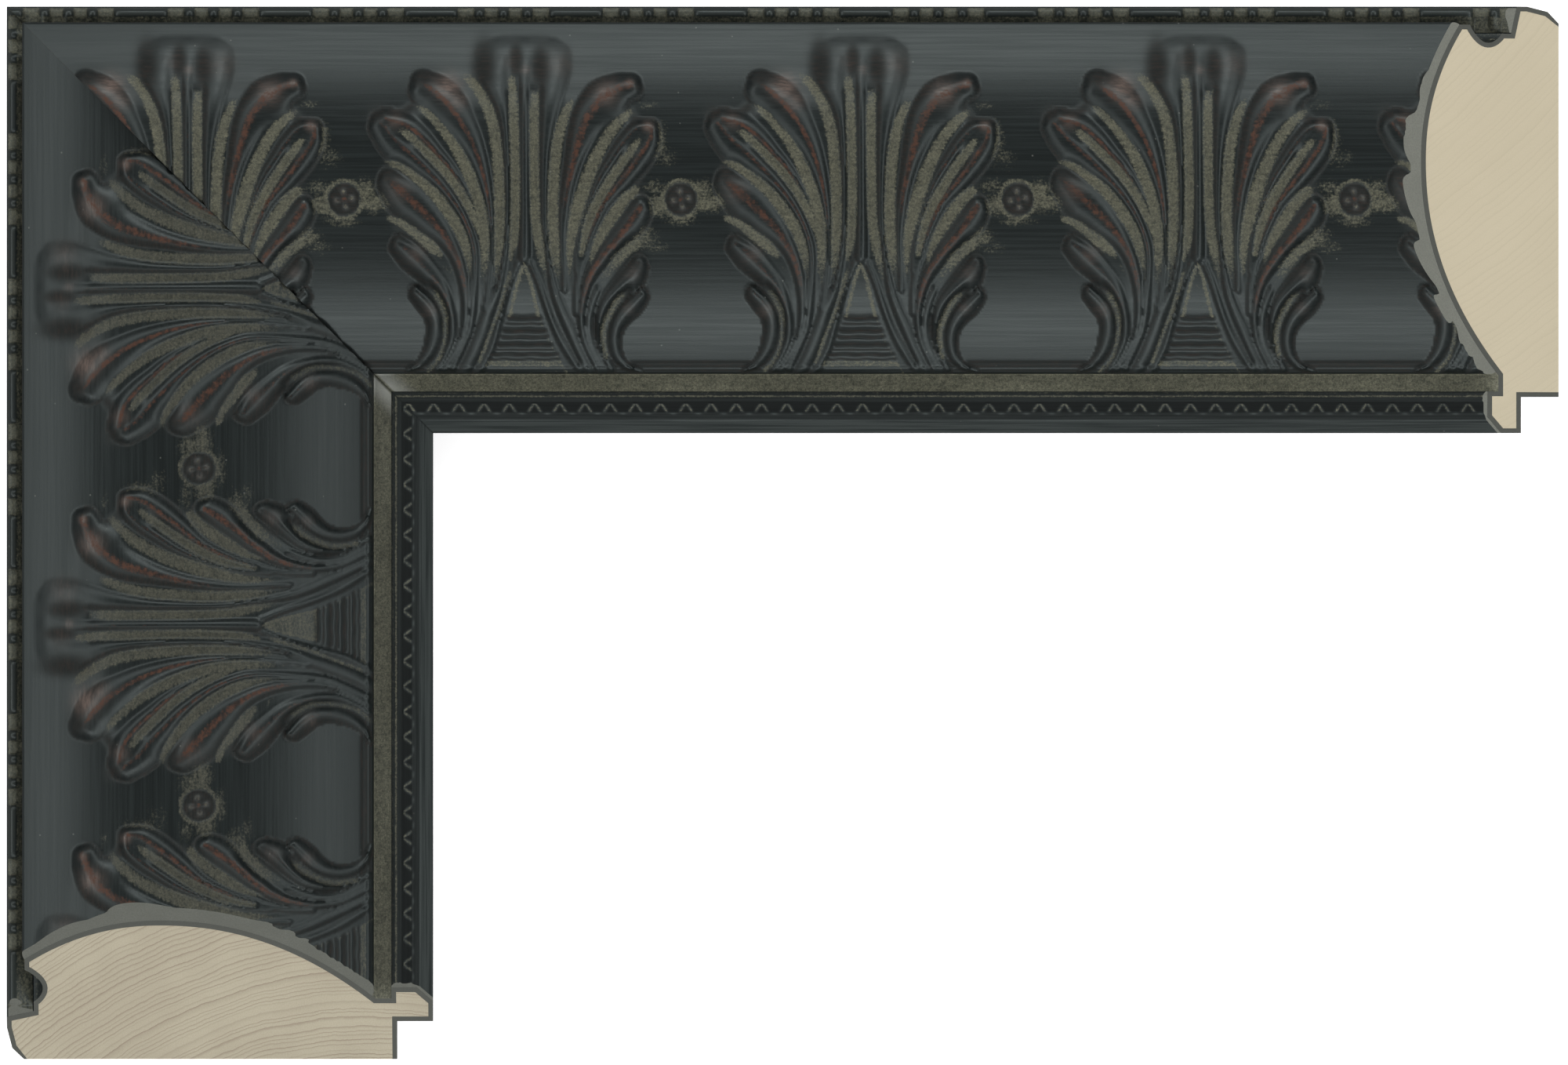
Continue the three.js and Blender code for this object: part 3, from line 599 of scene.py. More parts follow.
def carved_strip(kind, arm, rows, under, tile, period, materials):
    """A cast strip: a fine front from a tile that repeats along the arm, over a plain underside.

    rows holds the plain front's setbacks and heights, under the underside's, both from the outer
    edge inward. tile holds one array of columns by rows for the height and for each of its masks.
    """
    name = f"{arm.name}_{kind}"
    first = arm.phases[kind]
    columns = tile["height"].shape[0]
    step = period / columns
    low = int(np.floor((-OVERRUN - first) / step))
    high = int(np.ceil((arm.length + OVERRUN - first) / step))
    index = np.arange(low, high + 1)
    along = first + index * step
    picks = (index + columns // 2) % columns
    count, depth, size = len(index), len(rows), len(under)
    s, w = np.meshgrid(along, rows[:, 0], indexing="ij")
    front = np.stack([s, w, rows[None, :, 1] + tile["height"][picks]], axis=-1)
    s, w = np.meshgrid(along[[0, -1]], under[:, 0], indexing="ij")
    back = np.stack([s, w, np.broadcast_to(under[:, 1], w.shape)], axis=-1)
    local = np.vstack([front.reshape(-1, 3), back.reshape(-1, 3)])
    grid = np.arange(count * depth).reshape(count, depth)
    quads = np.stack([grid[:-1, :-1], grid[:-1, 1:], grid[1:, 1:], grid[1:, :-1]], axis=-1).reshape(-1, 4)
    base = count * depth
    faces = quads.tolist()
    faces += [[base + i, base + size + i, base + size + i + 1, base + i + 1] for i in range(size - 1)]
    faces.append([*grid[:, 0].tolist(), base + size, base])
    faces.append([*grid[::-1, -1].tolist(), base + size - 1, base + 2 * size - 1])
    masks = {mask: np.append(values[picks], np.zeros(2 * size)) for mask, values in tile.items()}
    mesh = arm_mesh(name, arm, local, faces, masks)
    bm = bmesh.new()
    bm.from_mesh(mesh)
    cut(bm, arm.plane(arm.mitre), PAINTED)
    point, normal = arm.plane(arm.mitre)
    for vertex in bm.verts:
        if abs((vertex.co - point).dot(normal)) < 1e-6 and len(vertex.link_edges) > 3:
            vertex.co.z -= MITRE_NOTCH * MM
    cut(bm, arm.plane(arm.sawn), SAWN)
    finish_mesh(bm, mesh, STRIP_CREASE)
    return make_object(name, mesh, materials)


# Leaf band.
def leaf_rows():
    edge = EDGE_SETBACK + EDGE_ROWS_WIDTH * np.linspace(0, 1, EDGE_ROWS, endpoint=False) ** 2
    middle = np.arange(EDGE_SETBACK + EDGE_ROWS_WIDTH, FOOT_START, LEAF_ROW)
    foot = np.linspace(FOOT_START, BAND_FOOT, round((BAND_FOOT - FOOT_START) / FOOT_ROW))
    setbacks = np.concatenate([edge, middle, foot])
    return face_offset(setbacks, band_depth(setbacks))


def lobe_section(share, softness):
    """Height of a lobe over its foot, from its crest (0) to its edge (1)."""
    inside = np.clip(share, 0, 1)
    return (1 - inside**2) ** softness


def smooth_max(first, second):
    share = np.clip(0.5 + (second - first) / (2 * BLEND), 0, 1)
    return first + (second - first) * share + BLEND * share * (1 - share)


def tile_grid(columns, period, setbacks):
    """Place across and setback of every point of a tile, columns by rows."""
    across = (np.arange(columns) - columns // 2) * period / columns
    return np.meshgrid(across, setbacks, indexing="ij")


def patches(places, across, setback, power=2):
    field = np.zeros(across.shape)
    for x, y, *reach, strength in places:
        away = np.hypot(wrap(across, x) / reach[0], (setback - y) / reach[-1])
        field = np.maximum(field, strength * np.exp(-(away**power)))
    return field


def raise_mask(tile, mask, values):
    tile[mask] = np.maximum(tile[mask], values)


def channel_fields(across, setback):
    """How far a place lies outside the channels, how much wash lies there and a channel's sill."""
    edge = np.full(across.shape, 1e9)
    wash = np.zeros(across.shape)
    sill = np.zeros(across.shape)
    thinning = 1 - 0.95 * smoothstep(*WASH_END, setback)
    for name, points in CHANNELS.items():
        distance, width, share, below = near_path(points, across, setback)
        edge = np.minimum(edge, distance - width * 0.8)
        amount = smoothstep(0, 0.1, share) * THIN_WASH.get(name, 1.0)
        if name in STEM_WASH:
            amount = smoothstep(*STEM_WASH[name], setback)
        if name not in WASHED_TO_FOOT:
            amount = amount * thinning
        wash = np.maximum(wash, fade_out(width * 0.35, width * 1.1 + 0.45, distance) * amount)
        if name.endswith("inner"):
            near = fade_out(width, width + 1.2, distance)
            sill = np.maximum(sill, INNER_SILL * near * fade_out(0.05, 0.4, share))
    return edge, wash, sill


def leaf_floor(across, setback):
    """Raised ground under the leaf that the lobes stand on."""
    half_width = np.where(across < 0, profile(setback, FLOOR_LEFT), profile(setback, FLOOR_RIGHT))
    hull = fade_out(0.78, 1.12, np.abs(across) / half_width) * smoothstep(11, 20, setback)
    floor = LEAF_FLOOR * hull * (1 - 0.35 * smoothstep(50, 62, setback))
    cap = fade_out(14, 20, setback) * smoothstep(5, 16, setback)
    return np.maximum(floor, CAP_FLOOR * cap * fade_out(5.0, 7.5, np.abs(across)))


def lobe_fields(across, setback, edge, sill):
    """Height of the lobes, how far their crests are rubbed and how dark the painted shade on their flanks is.
    """
    floor = np.maximum(leaf_floor(across, setback), sill)
    height = floor.copy()
    rub = np.zeros(across.shape)
    flank = np.full(across.shape, PLAIN_FLANK)
    for name, (tip, foot, points) in CRESTS.items():
        distance, path_width, share, below = near_path(points, across, setback)
        near_tip = fade_out(0.12, 0.5, share)
        rise = tip - (tip - foot) * smoothstep(0.3, 0.95, share)
        width = path_width
        softness = LOBE_SOFTNESS
        if name.startswith(("left", "right")):
            width = path_width * (1 + TIP_SPREAD * below * near_tip)
            softness = LOBE_SOFTNESS + 0.15 * near_tip
        elif name.startswith("cap"):
            # The cap grows out of the band and is softer at its top.
            rise = rise * (0.2 + 0.8 * smoothstep(5, 21, setback))
            softness = 1.1 - 0.3 * smoothstep(10, 16, setback)
        elif name == "brow":
            softness = BROW_SOFTNESS
        beyond = distance - width
        reach = distance / width
        if name != "brow":
            # A channel cuts the lobe off.
            beyond = np.maximum(beyond, -edge)
            reach = np.maximum(reach, distance / np.maximum(distance + edge, 1e-6))
        lobe = floor + np.maximum(rise - floor, LEAST_RISE) * lobe_section(reach, softness)
        lobe = lobe - FALL * np.maximum(beyond, 0)
        flank = np.where(lobe > height, FLANK.get(name, PLAIN_FLANK), flank)
        height = smooth_max(height, lobe)
        worn = bell(distance, RUB_WIDTH.get(name, 1.0) * (0.1 * path_width + 0.28))
        rub = np.maximum(rub, WORN.get(name, 0) * worn * fade_out(0.45, 0.85, share))
    return height, rub, flank


def add_rosette(tile, across, setback):
    """A low dome with petals in a ring of painted shade, and the wash around it and beside the leaf."""
    dx = wrap(across, ROSETTE_ACROSS)
    dy = setback - ROSETTE_SETBACK
    radius = np.hypot(dx, dy)
    angle = np.arctan2(dy, dx)
    inside = fade_out(ROSETTE_RADIUS - 0.2, ROSETTE_RADIUS + 0.1, radius)
    dome = np.sqrt(np.clip(1 - (radius / ROSETTE_RADIUS) ** 2, 0, 1))
    petals = np.clip(0.3 + 0.7 * np.cos(PETALS * angle + PETAL_TURN), 0, 1)
    petals = petals * bell(radius - PETAL_RADIUS, 0.7)
    button = bell(radius, BUTTON_RADIUS)
    relief = (PETAL_RISE * petals + BUTTON_RISE * button) * (radius < ROSETTE_RADIUS)
    tile["height"] = np.maximum(tile["height"], 0) + ROSETTE_RISE * dome + relief
    # Painted shade lies between the petals; the petals' wash and pink are painted highlight.
    raise_mask(tile, "shade", inside * np.clip(1 - 1.5 * petals - 0.9 * button, 0, 1))
    raise_mask(tile, "rose", 0.25 * petals * inside)
    raise_mask(tile, "rub", 0.9 * bell(radius, 0.6))
    raise_mask(tile, "wash", 0.72 * petals * inside)
    raise_mask(tile, "wash", 0.95 * bell(radius - HALO_RADIUS, 0.5))
    smears = patches(SMEARS, across, setback)
    raise_mask(tile, "wash", smears * fade_out(0.9, 1.3, tile["height"]) * (1 - inside))


def add_ladder(tile, across, setback, panel_wash):
    """A plain panel and rungs between the leaf's legs. Gives back where they lie."""
    leg = profile(setback, LADDER)
    between = smoothstep(0.2, 0.6, leg - np.abs(across)) * (setback > LADDER_TOP)
    panel_edge = fade_out(0.8, 1.5, leg - np.abs(across))
    panel = np.maximum(panel_edge, panel_wash) * (setback < RUNG_START)
    raise_mask(tile, "wash", between * panel)
    gaps = np.zeros(across.shape)
    for place, reach, drop in RUNG_GAPS:
        wave = 0.07 * np.sin(1.3 * across + place)
        gap = bell(setback - place - wave, reach) * between
        gaps = np.maximum(gaps, gap)
        tile["height"] = tile["height"] - drop * gap
    # Painted shade in the gaps between the rungs.
    raise_mask(tile, "shade", smoothstep(0.3, 0.9, gaps))
    # The rungs' wash is partly wash and partly painted highlight on their tops.
    rung = between * (1 - gaps) * (setback > RUNG_START)
    right_end = fade_out(0.5, 1.3, leg - across) * (across > 0)
    raise_mask(tile, "wash", rung * (0.25 + 0.45 * right_end))
    first, last = LAST_RUNG
    raise_mask(tile, "wash", 0.7 * rung * (setback > first) * (setback < last))
    return between


def add_panel_foot(tile, across, setback):
    """Groove and rim at the foot of the panel between two leaves, with painted shade in the groove."""
    panel = smoothstep(18, 21, np.abs(across))
    rim = bell(setback - FOOT_RIM[0], FOOT_RIM[1])
    groove = bell(setback - FOOT_GROOVE[0], FOOT_GROOVE[1]) * panel
    tile["height"] = tile["height"] + FOOT_RELIEF * rim - FOOT_RELIEF * groove
    raise_mask(tile, "shade", 0.7 * groove)


def add_painted_shade(tile, setback, flank, between):
    """Painted shade on the flanks that look back along the arm, and at the foot of the leaf's outline."""
    height = tile["height"]
    bare = 1 - tile["wash"]
    column = LEAF_SPACING / LEAF_COLUMNS
    slope = (np.roll(height, -1, axis=0) - np.roll(height, 1, axis=0)) / (2 * column)
    flank = flank * (1 - 0.5 * smoothstep(50, 60, setback))
    raise_mask(tile, "shade", flank * smoothstep(0.12, 0.55, slope) * bare)
    incline = np.hypot(slope, np.gradient(height, axis=1) / np.gradient(setback, axis=1))
    low = fade_out(0.3, 0.7, height) * smoothstep(13, 17, setback) * (1 - between)
    raise_mask(tile, "shade", 0.8 * low * smoothstep(0.06, 0.3, incline) * bare)


def leaf_tile(rows, panel_wash):
    """Height over the plain band and the paint masks of one leaf and one rosette."""
    across, setback = tile_grid(LEAF_COLUMNS, LEAF_SPACING, rows[:, 0])
    edge, wash, sill = channel_fields(across, setback)
    height, rub, flank = lobe_fields(across, setback, edge, sill)
    # Painted shade on the lobes' tips and on the cap, where the rub is kept thin.
    dark = patches(TIP_SHADE, across, setback)
    dark = np.maximum(dark, patches(CAP_OVALS, across, setback, CAP_EDGE))
    tile = {
        "height": height,
        "wash": wash,
        "rub": rub * (1 - 0.7 * dark),
        "rose": patches(PINK_SPOTS, across, setback),
        "shade": dark,
    }
    add_rosette(tile, across, setback)
    between = add_ladder(tile, across, setback, panel_wash)
    add_panel_foot(tile, across, setback)
    # The relief runs out at the band's outer edge and is lower at its foot.
    tile["height"] = tile["height"] * smoothstep(3.6, 5.5, setback) * (1 - 0.3 * smoothstep(54, 64, setback))
    add_painted_shade(tile, setback, flank, between)
    tile["wash"] = np.clip(tile["wash"], 0, 1)
    return tile


def make_leaf_band(arm, materials):
    rows = leaf_rows()
    under = face_offset(np.linspace(EDGE_SETBACK, BAND_FOOT, FACE_STEPS), SEAT)
    tile = leaf_tile(rows, arm.panel_wash)
    return carved_strip("leaves", arm, rows, under, tile, LEAF_SPACING, materials)


# Bead strip: three beads and a bar in each repeat.
def make_bead_strip(arm, materials):
    setbacks = np.linspace(*BEAD_EDGES, BEAD_ROWS)
    along, setback = tile_grid(BEAD_COLUMNS, BEAD_PERIOD, setbacks)
    ground = profile(setbacks, BEAD_GROUND)
    swell = np.zeros(along.shape)
    for centre in (-BEAD_PITCH, 0, BEAD_PITCH):
        share = np.abs(along - centre) / (BEAD_LENGTH / 2)
        swell = np.maximum(swell, np.clip(1 - share**2, 0, 1) ** BEAD_ROUNDING)
    share = (BEAD_PERIOD / 2 - np.abs(along)) / (BAR_LENGTH / 2)
    swell = np.maximum(swell, np.clip(1 - share**12, 0, 1) ** BEAD_ROUNDING * (share < 1))
    # Wash on the inner half, under the band's edge: partly wash, partly painted light where that edge shades
    # it.
    inner_half = smoothstep(1.5, 2.1, setback)
    wash = fade_out(0.05, 0.9, swell) * (1 - 0.25 * inner_half)
    height = (profile(setbacks, BEAD_TOPS) - ground) * swell
    tile = {"height": height, "wash": np.maximum(wash, 0.65 * inner_half)}
    rows = np.stack([setbacks, ground], axis=1)
    edges = np.array(BEAD_EDGES)
    under = np.stack([edges, LEDGE_HEIGHT + LEDGE_RISE * edges / LEDGE_WIDTH + SEAT], axis=1)
    return carved_strip("beads", arm, rows, under, tile, BEAD_PERIOD, materials)


# Sight edge: a line of wash, a sunk field with arches, dashes and drops, and a bevel.
def make_sight_edge(arm, materials):
    setbacks = np.linspace(LIP_SETBACK, RAIL_WIDTH, round(LIP_WIDTH / SIGHT_ROW) + 1)
    along, setback = tile_grid(ARCH_COLUMNS, ARCH_PERIOD, setbacks)
    leg = 0.05 + ARCH_SPREAD * np.clip((setback - ARCH_TOP) / ARCH_DEPTH, 0, 1) ** 0.75
    inside = smoothstep(74.4, 74.6, setback) * fade_out(75.9, 76.15, setback)
    arch = bell(np.abs(along) - leg, 0.32) * inside
    dash = bell(ARCH_PERIOD / 2 - np.abs(along), 0.55) * bell(setback - DASH_SETBACK, 0.18)
    drop = bell(along, 0.7) * bell(setback - DROP_SETBACK, 0.3)
    wall = fade_out(72.7, 72.9, setback)
    line = smoothstep(72.8, 73.0, setback) * (setback < 73.4)
    field = smoothstep(74.0, 74.2, setback) * fade_out(76.1, 76.4, setback)
    # Painted shade over all but the bevel, fullest in the sunk field and less on the arches and dashes.
    dark = np.maximum(np.maximum(field, 0.1 * wall), 0.75 * (setback < BEVEL_START))
    tile = {
        "height": 0.3 * arch + 0.12 * dash + 0.08 * drop,
        "wash": np.clip(0.35 * wall + 0.8 * arch + 0.35 * dash + 0.75 * line, 0, 1),
        "shade": np.clip(dark - arch - dash, 0, 1),
    }
    rows = np.stack([setbacks, profile(setbacks, SIGHT_SECTION)], axis=1)
    under = np.array([
        [LIP_SETBACK, LIP_TOP + SEAT],
        [RAIL_WIDTH - LIP_BEVEL_WIDTH, LIP_TOP + SEAT],
        [RAIL_WIDTH, LIP_TOP - LIP_BEVEL_DROP + SEAT],
    ])
    return carved_strip("sight_strip", arm, rows, under, tile, ARCH_PERIOD, materials)


# Rail.
def make_rail(arm, materials):
    """Coated wood: the coat is the ring between two outlines, the wood is what lies inside."""
    outer = rail_outline()
    inner = inset(outer, COAT)
    count = len(outer)
    both = np.vstack([outer, inner])
    w, z = both[:, 0], both[:, 1]
    starts = np.stack([arm.start(w, z), w, z], axis=1)
    ends = np.stack([arm.end(w, z), w, z], axis=1)
    local = np.vstack([starts, ends])
    first, last = 0, 2 * count
    faces, slots = [], []
    for i in range(count - 1):
        faces.append([first + i, first + i + 1, last + i + 1, last + i])
        slots.append(PAINTED)
        for base in (first, last):
            faces.append([base + i, base + i + 1, base + count + i + 1, base + count + i])
            slots.append(COAT_EDGE)
    for i in (0, count - 1):
        faces.append([first + i, last + i, last + count + i, first + count + i])
        slots.append(PAINTED)
    for base in (first, last):
        faces.append([base + count + i for i in range(count)])
        slots.append(SAWN)
    # The bare back.
    faces.append([first + count, first + 2 * count - 1, last + 2 * count - 1, last + count])
    slots.append(SAWN)
    # Wash covers the flat beside the lip and lies thinly in the cove.
    flat = (w > BAND_FOOT - 0.3) & (w < LIP_SETBACK + 0.1) & (z > FILLET_HEIGHT - 0.1)
    cove = (w < 8) & (z > LEDGE_HEIGHT + 0.5) & (z < EDGE_HEIGHT - 1)
    wash = np.tile(np.where(flat, 1.0, 0) + np.where(cove, 0.35, 0), 2)
    name = f"{arm.name}_coated_rail"
    mesh = arm_mesh(name, arm, local, faces, {"wash": wash})
    mesh.polygons.foreach_set("material_index", slots)
    bm = bmesh.new()
    bm.from_mesh(mesh)
    finish_mesh(bm, mesh, RAIL_CREASE)
    return make_object(name, mesh, materials)


# Materials.
def linear(red, green, blue):
    """Colour from 0 to 255 values as seen on a screen."""
    values = np.array([red, green, blue]) / 255
    light = np.where(values <= 0.04045, values / 12.92, ((values + 0.055) / 1.055) ** 2.4)
    return (*light.tolist(), 1.0)


STREAK_COLOR = linear(24, 29, 29)
SPECK_COLOR = linear(120, 122, 116)
PAINTED_SHADE_BROWN = linear(42, 27, 20)
# Brown that the painted shade is partly tinted with.
PINK_COLOR = linear(108, 92, 84)
RUB_COLOR = linear(74, 42, 26)
SHEEN_COLOR = linear(176, 178, 172)
COOL_GLOSS = (0.88, 1.0, 0.985, 1.0)
BUMP_HEIGHT = 0.0001  # metres


class Nodes:
    """Adds nodes to one new material and joins them."""

    def __init__(self, name):
        self.material = bpy.data.materials.new(name)
        self.material.use_nodes = True
        self.tree = self.material.node_tree
        self.shader = self.tree.nodes["Principled BSDF"]

    def put(self, socket, value):
        if isinstance(value, bpy.types.NodeSocket):
            self.tree.links.new(value, socket)
        else:
            socket.default_value = value

    def add(self, kind, inputs, output=0, **settings):
        node = self.tree.nodes.new(kind)
        for name, value in settings.items():
            setattr(node, name, value)
        for name, value in inputs.items():
            self.put(node.inputs[name], value)
        return node.outputs[output]

    def attribute(self, name):
        output = "Vector" if name == "arm" else "Fac"
        return self.add("ShaderNodeAttribute", {}, output, attribute_name=name)

    def stretched(self, vector, scale):
        return self.add("ShaderNodeVectorMath", {0: vector, 1: scale}, operation="MULTIPLY")

    def noise(self, vector, scale, detail=3.0, roughness=0.55):
        inputs = {"Vector": vector, "Scale": scale, "Detail": detail, "Roughness": roughness}
        return self.add("ShaderNodeTexNoise", inputs)

    def drift(self, value, scale, detail):
        """Noise along one value."""
        inputs = {"W": value, "Scale": scale, "Detail": detail}
        return self.add("ShaderNodeTexNoise", inputs, noise_dimensions="1D")

    def math(self, operation, first, *others):
        for other in others or (0.0,):
            first = self.add("ShaderNodeMath", {0: first, 1: other}, operation=operation)
        return first

    def times(self, *values):
        return self.math("MULTIPLY", *values)

    def plus(self, *values):
        return self.math("ADD", *values)

    def span(self, value, low, high, to_low=0.0, to_high=1.0):
        inputs = {"Value": value, "From Min": low, "From Max": high, "To Min": to_low, "To Max": to_high}
        return self.add("ShaderNodeMapRange", inputs, interpolation_type="SMOOTHSTEP")

    def mix(self, factor, first, second):
        return self.add("ShaderNodeMix", {0: factor, 6: first, 7: second}, 2, data_type="RGBA")

    def bump(self, height, strength):
        return self.add("ShaderNodeBump", {"Height": height, "Strength": strength, "Distance": BUMP_HEIGHT})

    def finish(self, color, roughness, **others):
        inputs = {"Base Color": color, "Roughness": roughness, **others}
        for name, value in inputs.items():
            self.put(self.shader.inputs[name.replace("_", " ")], value)
        return self.material


def paint_material(name, dark, deep, wash_color, sheen_strength=0.0, specular=0.5, brown=0.5):
    """Dark satin paint with a taupe wash, a red-brown rub and fine brushed streaks."""
    nodes = Nodes(name)
    arm = nodes.attribute("arm")
    seam = nodes.attribute("seam")
    streak = nodes.noise(nodes.stretched(arm, (0.04, 2.4, 1.0)), 1.0, 4.0)
    wipe = nodes.noise(nodes.stretched(arm, (0.4, 2.2, 1.0)), 1.0, 4.0, 0.65)
    mottle = nodes.noise(arm, 0.9, 5.0, 0.65)
    grain = nodes.noise(arm, 2.2, 4.0, 0.65)
    dust = nodes.noise(arm, 4.0, 3.0, 0.7)
    base = nodes.mix(nodes.span(streak, 0.35, 0.7), dark, STREAK_COLOR)
    # Tiny light specks, in some cells of a coarse pattern only.
    cell = nodes.add("ShaderNodeTexVoronoi", {"Vector": arm, "Scale": 0.3}).node
    chosen = nodes.add("ShaderNodeSeparateColor", {0: cell.outputs["Color"]})
    speck = nodes.span(cell.outputs["Distance"], 0.03, 0.07, 1.0, 0.0)
    speck = nodes.times(speck, nodes.math("GREATER_THAN", chosen, 0.6), 0.45)
    base = nodes.mix(speck, base, SPECK_COLOR)
    # Painted shade: where the shade mask lies, the paint darkens to its deep colour, partly tinted brown.
    painted_shade = nodes.mix(nodes.span(wipe, 0.45, 0.65, 0.0, brown), deep, PAINTED_SHADE_BROWN)
    base = nodes.mix(nodes.attribute("shade"), base, painted_shade)
    # Wash and rub end in ragged edges: the noise shifts the value from which they show.
    start = nodes.plus(
        nodes.span(grain, 0.3, 0.7, 0.0, 0.35),
        nodes.span(wipe, 0.3, 0.7, 0.0, 0.2),
        nodes.span(mottle, 0.3, 0.7, 0.1, 0.0),
    )
    end = nodes.plus(start, 0.6)
    wash = nodes.times(
        nodes.span(nodes.attribute("wash"), start, end),
        nodes.span(mottle, 0.3, 0.6, 0.7, 1.0),
        nodes.span(grain, 0.35, 0.65, 1.0, 0.55),
        nodes.span(dust, 0.38, 0.62, 1.0, 0.6),
        nodes.span(wipe, 0.35, 0.65, 1.0, 0.8),
    )
    base = nodes.mix(wash, base, wash_color)
    pink = nodes.times(nodes.attribute("rose"), nodes.span(wipe, 0.3, 0.7, 0.4, 1.0))
    base = nodes.mix(pink, base, PINK_COLOR)
    rub = nodes.span(nodes.attribute("rub"), start, end)
    rub = nodes.times(rub, nodes.span(mottle, 0.4, 0.6, 0.3, 1.0))
    base = nodes.mix(rub, base, RUB_COLOR)
    line = nodes.times(nodes.span(seam, 0.05, 0.3, 0.75, 0.0), nodes.span(mottle, 0.3, 0.6, 0.5, 1.0))
    base = nodes.mix(line, base, deep)
    # Painted sheen: near the mitre the washed flat beside the lip is painted light grey.
    sheen = nodes.times(
        nodes.math("GREATER_THAN", nodes.attribute("wash"), 0.95),
        sheen_strength,
        nodes.span(seam, 0.5, 6.0, 1.0, 0.0),
        nodes.span(seam, 0.2, 0.8, 0.0, 1.0),
    )
    base = nodes.mix(sheen, base, SHEEN_COLOR)
    roughness = nodes.plus(
        nodes.span(streak, 0.3, 0.7, 0.33, 0.42),
        nodes.times(wash, 0.3),
        nodes.times(rub, 0.2),
        nodes.times(nodes.attribute("shade"), 0.42),
    )
    normal = nodes.bump(nodes.plus(nodes.times(grain, 0.5), streak), 0.12)
    return nodes.finish(base, roughness, Normal=normal, Specular_IOR_Level=specular, Specular_Tint=COOL_GLOSS)


def section_material(name, light, dark):
    """Sawn cast mix or coat: fine grey grain."""
    nodes = Nodes(name)
    arm = nodes.attribute("arm")
    grain = nodes.noise(arm, 3.0, 5.0, 0.7)
    patch = nodes.noise(arm, 0.25, 2.0)
    color = nodes.mix(nodes.span(grain, 0.3, 0.7), dark, light)
    color = nodes.mix(nodes.span(patch, 0.3, 0.7, 0.0, 0.35), color, dark)
    return nodes.finish(color, nodes.span(grain, 0.3, 0.7, 0.75, 0.9), Normal=nodes.bump(grain, 0.3))


def wood_material(name, heart, spacing, light, dark, contrast):
    """Softwood with growth rings around a heart line that runs along the arm."""
    nodes = Nodes(name)
    arm = nodes.attribute("arm")
    flat = nodes.stretched(arm, (0.0, 1.0, 1.0))
    bend = nodes.noise(flat, 0.045, 2.0)
    ripple = nodes.noise(flat, 0.55, 2.0)
    split = nodes.add("ShaderNodeSeparateXYZ", {0: arm}).node
    dw = nodes.math("SUBTRACT", split.outputs[1], heart[0])
    dz = nodes.math("SUBTRACT", split.outputs[2], heart[1])
    radius = nodes.math("SQRT", nodes.plus(nodes.times(dw, dw), nodes.times(dz, dz)))
    radius = nodes.plus(radius, nodes.times(bend, 3.0), nodes.times(ripple, 0.5))
    age = nodes.math("DIVIDE", radius, spacing)
    age = nodes.plus(age, nodes.times(nodes.drift(age, 0.3, 1.0), 2.4))
    # Each ring darkens to its late wood and ends sharply, and some years are darker than others.
    ring = nodes.math("FRACT", age)
    late = nodes.times(
        nodes.math("POWER", ring, 5.0),
        nodes.span(ring, 0.94, 1.0, 1.0, 0.0),
        nodes.span(nodes.drift(age, 0.55, 2.0), 0.35, 0.65, 0.35, 1.0),
    )
    fibre = nodes.noise(flat, 4.0, 3.0)
    patch = nodes.noise(flat, 0.06, 2.0)
    color = nodes.mix(nodes.span(patch, 0.35, 0.65, 0.0, 0.12), light, dark)
    color = nodes.mix(nodes.span(fibre, 0.35, 0.7, 0.0, 0.12), color, dark)
    color = nodes.mix(nodes.times(late, contrast), color, dark)
    return nodes.finish(color, nodes.span(fibre, 0.3, 0.7, 0.7, 0.85), Normal=nodes.bump(fibre, 0.15))


leaf_dark, leaf_deep = linear(17, 21, 21), linear(16, 14, 11)
rail_dark, rail_deep = linear(22, 25, 24), linear(16, 16, 14)
# Each finish has a copy for each arm; the top arm's wash is lighter, painted light for the light it takes.
leaf_paints = {
    "top": paint_material("top_leaf_paint", leaf_dark, leaf_deep, linear(112, 110, 91)),
    "side": paint_material("side_leaf_paint", leaf_dark, leaf_deep, linear(88, 86, 72)),
}
# The rail's wash on the flat beside the lip is lighter than the leaf band's, and lighter on the top arm:
# partly wash, partly painted light in that shaded corner.
rail_paints = {
    "top": paint_material("top_rail_paint", rail_dark, rail_deep, linear(160, 159, 136), 0.8),
    "side": paint_material("side_rail_paint", rail_dark, rail_deep, linear(137, 136, 117), 0.8),
}
bead_paint = paint_material("bead_paint", linear(40, 44, 41), linear(37, 37, 31), linear(110, 109, 92))
# The sight edge's dark paint is lighter than on the other pieces: the bevel, which the painted shade leaves
# bare, is painted light.
sight_paint = paint_material(
    "sight_paint", linear(54, 59, 58), linear(6, 7, 7), linear(106, 105, 90), specular=0.33, brown=0.0
)
# The top arm's sawn face is painted lighter than the side arm's: painted light.
sections = {
    "top": section_material("top_section", linear(126, 128, 119), linear(108, 110, 102)),
    "side": section_material("side_section", linear(104, 106, 99), linear(88, 90, 83)),
}
coat_section = section_material("coat_section", linear(84, 86, 80), linear(73, 75, 70))
# The lower end is sawn through clear growth rings, the right end shows hardly any.
# The right end is also painted lighter than the lower end, which faces away from the light: painted light.
woods = {
    "top": wood_material("top_wood", (-60.0, 90.0), 1.3, linear(204, 193, 167), linear(186, 175, 148), 0.6),
    "side": wood_material("side_wood", (68.0, -70.0), 0.95, linear(184, 176, 154), linear(122, 104, 88), 1.0),
}

# The arms and their pieces.
width = (cad_box[1][0] - cad_box[0][0]) / MM
depth = (cad_box[1][1] - cad_box[0][1]) / MM
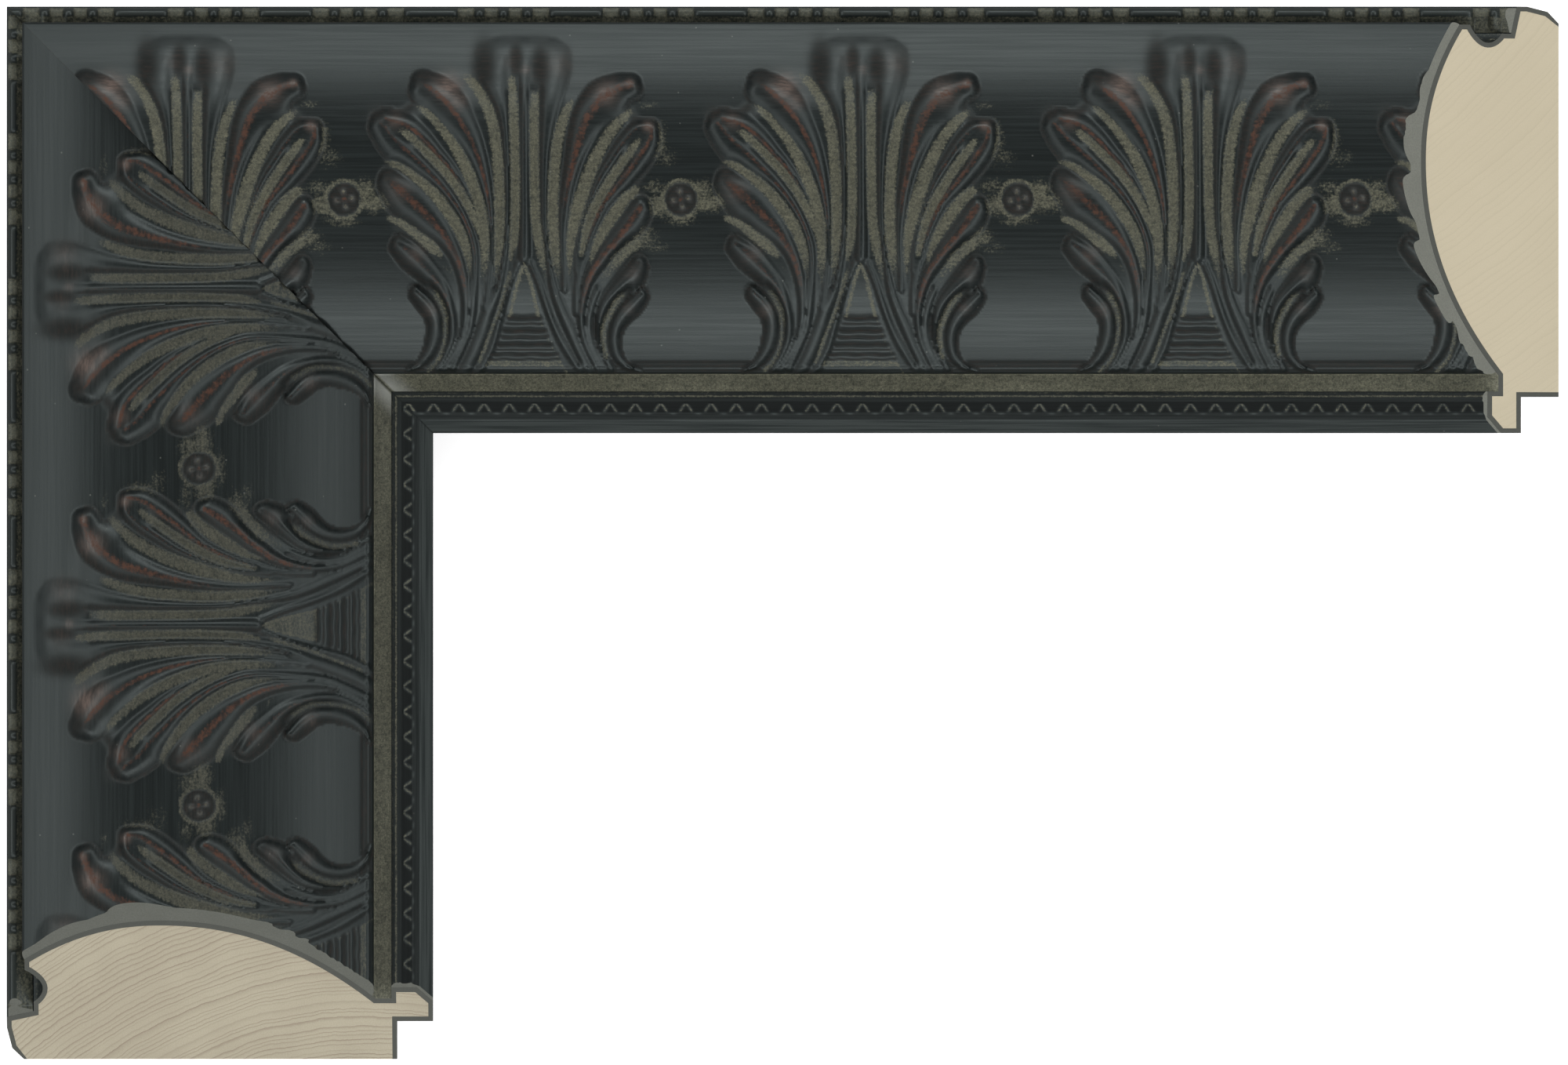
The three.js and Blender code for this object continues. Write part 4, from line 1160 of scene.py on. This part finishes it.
# The last figure of an arm is the wash on the panel between the leaf's legs; the top arm's thin wash there is
# painted light.
arms = [
    Arm("top", (-width / 2, depth / 2), (1, 0), (0, -1), width, True,
        {"leaves": 34.1, "beads": 11.6, "sight_strip": 75.4}, 0.25),
    Arm("side", (-width / 2, -depth / 2), (0, 1), (1, 0), depth, False,
        {"leaves": 18.4, "beads": 1.9, "sight_strip": 112.6}, 0.7),
]
for arm in arms:
    section = sections[arm.name]
    pieces = {
        "leaf_band": make_leaf_band(arm, [leaf_paints[arm.name], section]),
        "bead_strip": make_bead_strip(arm, [bead_paint, section]),
        "sight_edge": make_sight_edge(arm, [sight_paint, section]),
        "rail": make_rail(arm, [rail_paints[arm.name], woods[arm.name], coat_section]),
    }
    for slot, piece in pieces.items():
        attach(piece, "root")
        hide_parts(f"{arm.name}_{slot}")


# Floor, lights and camera.
def make_floor():
    mesh = bpy.data.meshes.new("floor")
    reach = FLOOR_REACH
    corners = [(-reach, -reach, 0), (reach, -reach, 0), (reach, reach, 0), (-reach, reach, 0)]
    mesh.from_pydata(corners, [], [(0, 1, 2, 3)])
    nodes = Nodes("floor")
    nodes.finish((0.9, 0.9, 0.9, 1), 0.9, Emission_Color=(1, 1, 1, 1), Emission_Strength=0.7)
    floor = make_object("floor", mesh, [nodes.material])
    floor.location.z = -FLOOR_DROP
    floor.visible_glossy = False


def make_light(name, aim, azimuth, elevation, tall, wide, radiance):
    """Soft light of a given brightness, at an angle from what it is aimed at."""
    light = bpy.data.lights.new(name, "AREA")
    light.shape = "RECTANGLE"
    light.size = wide
    light.size_y = tall
    light.energy = radiance * np.pi * tall * wide
    turn, tilt = np.radians(azimuth), np.radians(elevation)
    away = Vector((np.cos(turn) * np.cos(tilt), np.sin(turn) * np.cos(tilt), np.sin(tilt)))
    lamp = bpy.data.objects.new(name, light)
    lamp.location = Vector(aim) + away * LIGHT_DISTANCE
    lamp.rotation_euler = away.to_track_quat("Z", "Y").to_euler()
    bpy.context.collection.objects.link(lamp)


def make_camera():
    """Straight down, from so far that the view is nearly parallel."""
    data = bpy.data.cameras.new("camera")
    data.lens = LENS
    data.sensor_width = SENSOR
    data.clip_end = CAMERA_REACH
    view_width = PHOTO_WIDTH * PIXEL * MM
    middle_x = (PHOTO_WIDTH / 2 - CORNER_PIXEL[0]) * PIXEL * MM - width / 2 * MM
    middle_y = depth / 2 * MM - (PHOTO_HEIGHT / 2 - CORNER_PIXEL[1]) * PIXEL * MM
    camera = bpy.data.objects.new("camera", data)
    camera.location = (middle_x, middle_y, LENS / SENSOR * view_width + CREST_HEIGHT / 2 * MM)
    bpy.context.collection.objects.link(camera)
    bpy.context.scene.camera = camera


make_floor()
for row in LIGHTS:
    make_light(*row)
make_camera()

world = bpy.data.worlds.new("studio")
world.use_nodes = True
background = world.node_tree.nodes["Background"]
background.inputs["Color"].default_value = (1, 1, 1, 1)
background.inputs["Strength"].default_value = 0.2
bpy.context.scene.world = world
bpy.context.scene.view_settings.view_transform = "Standard"
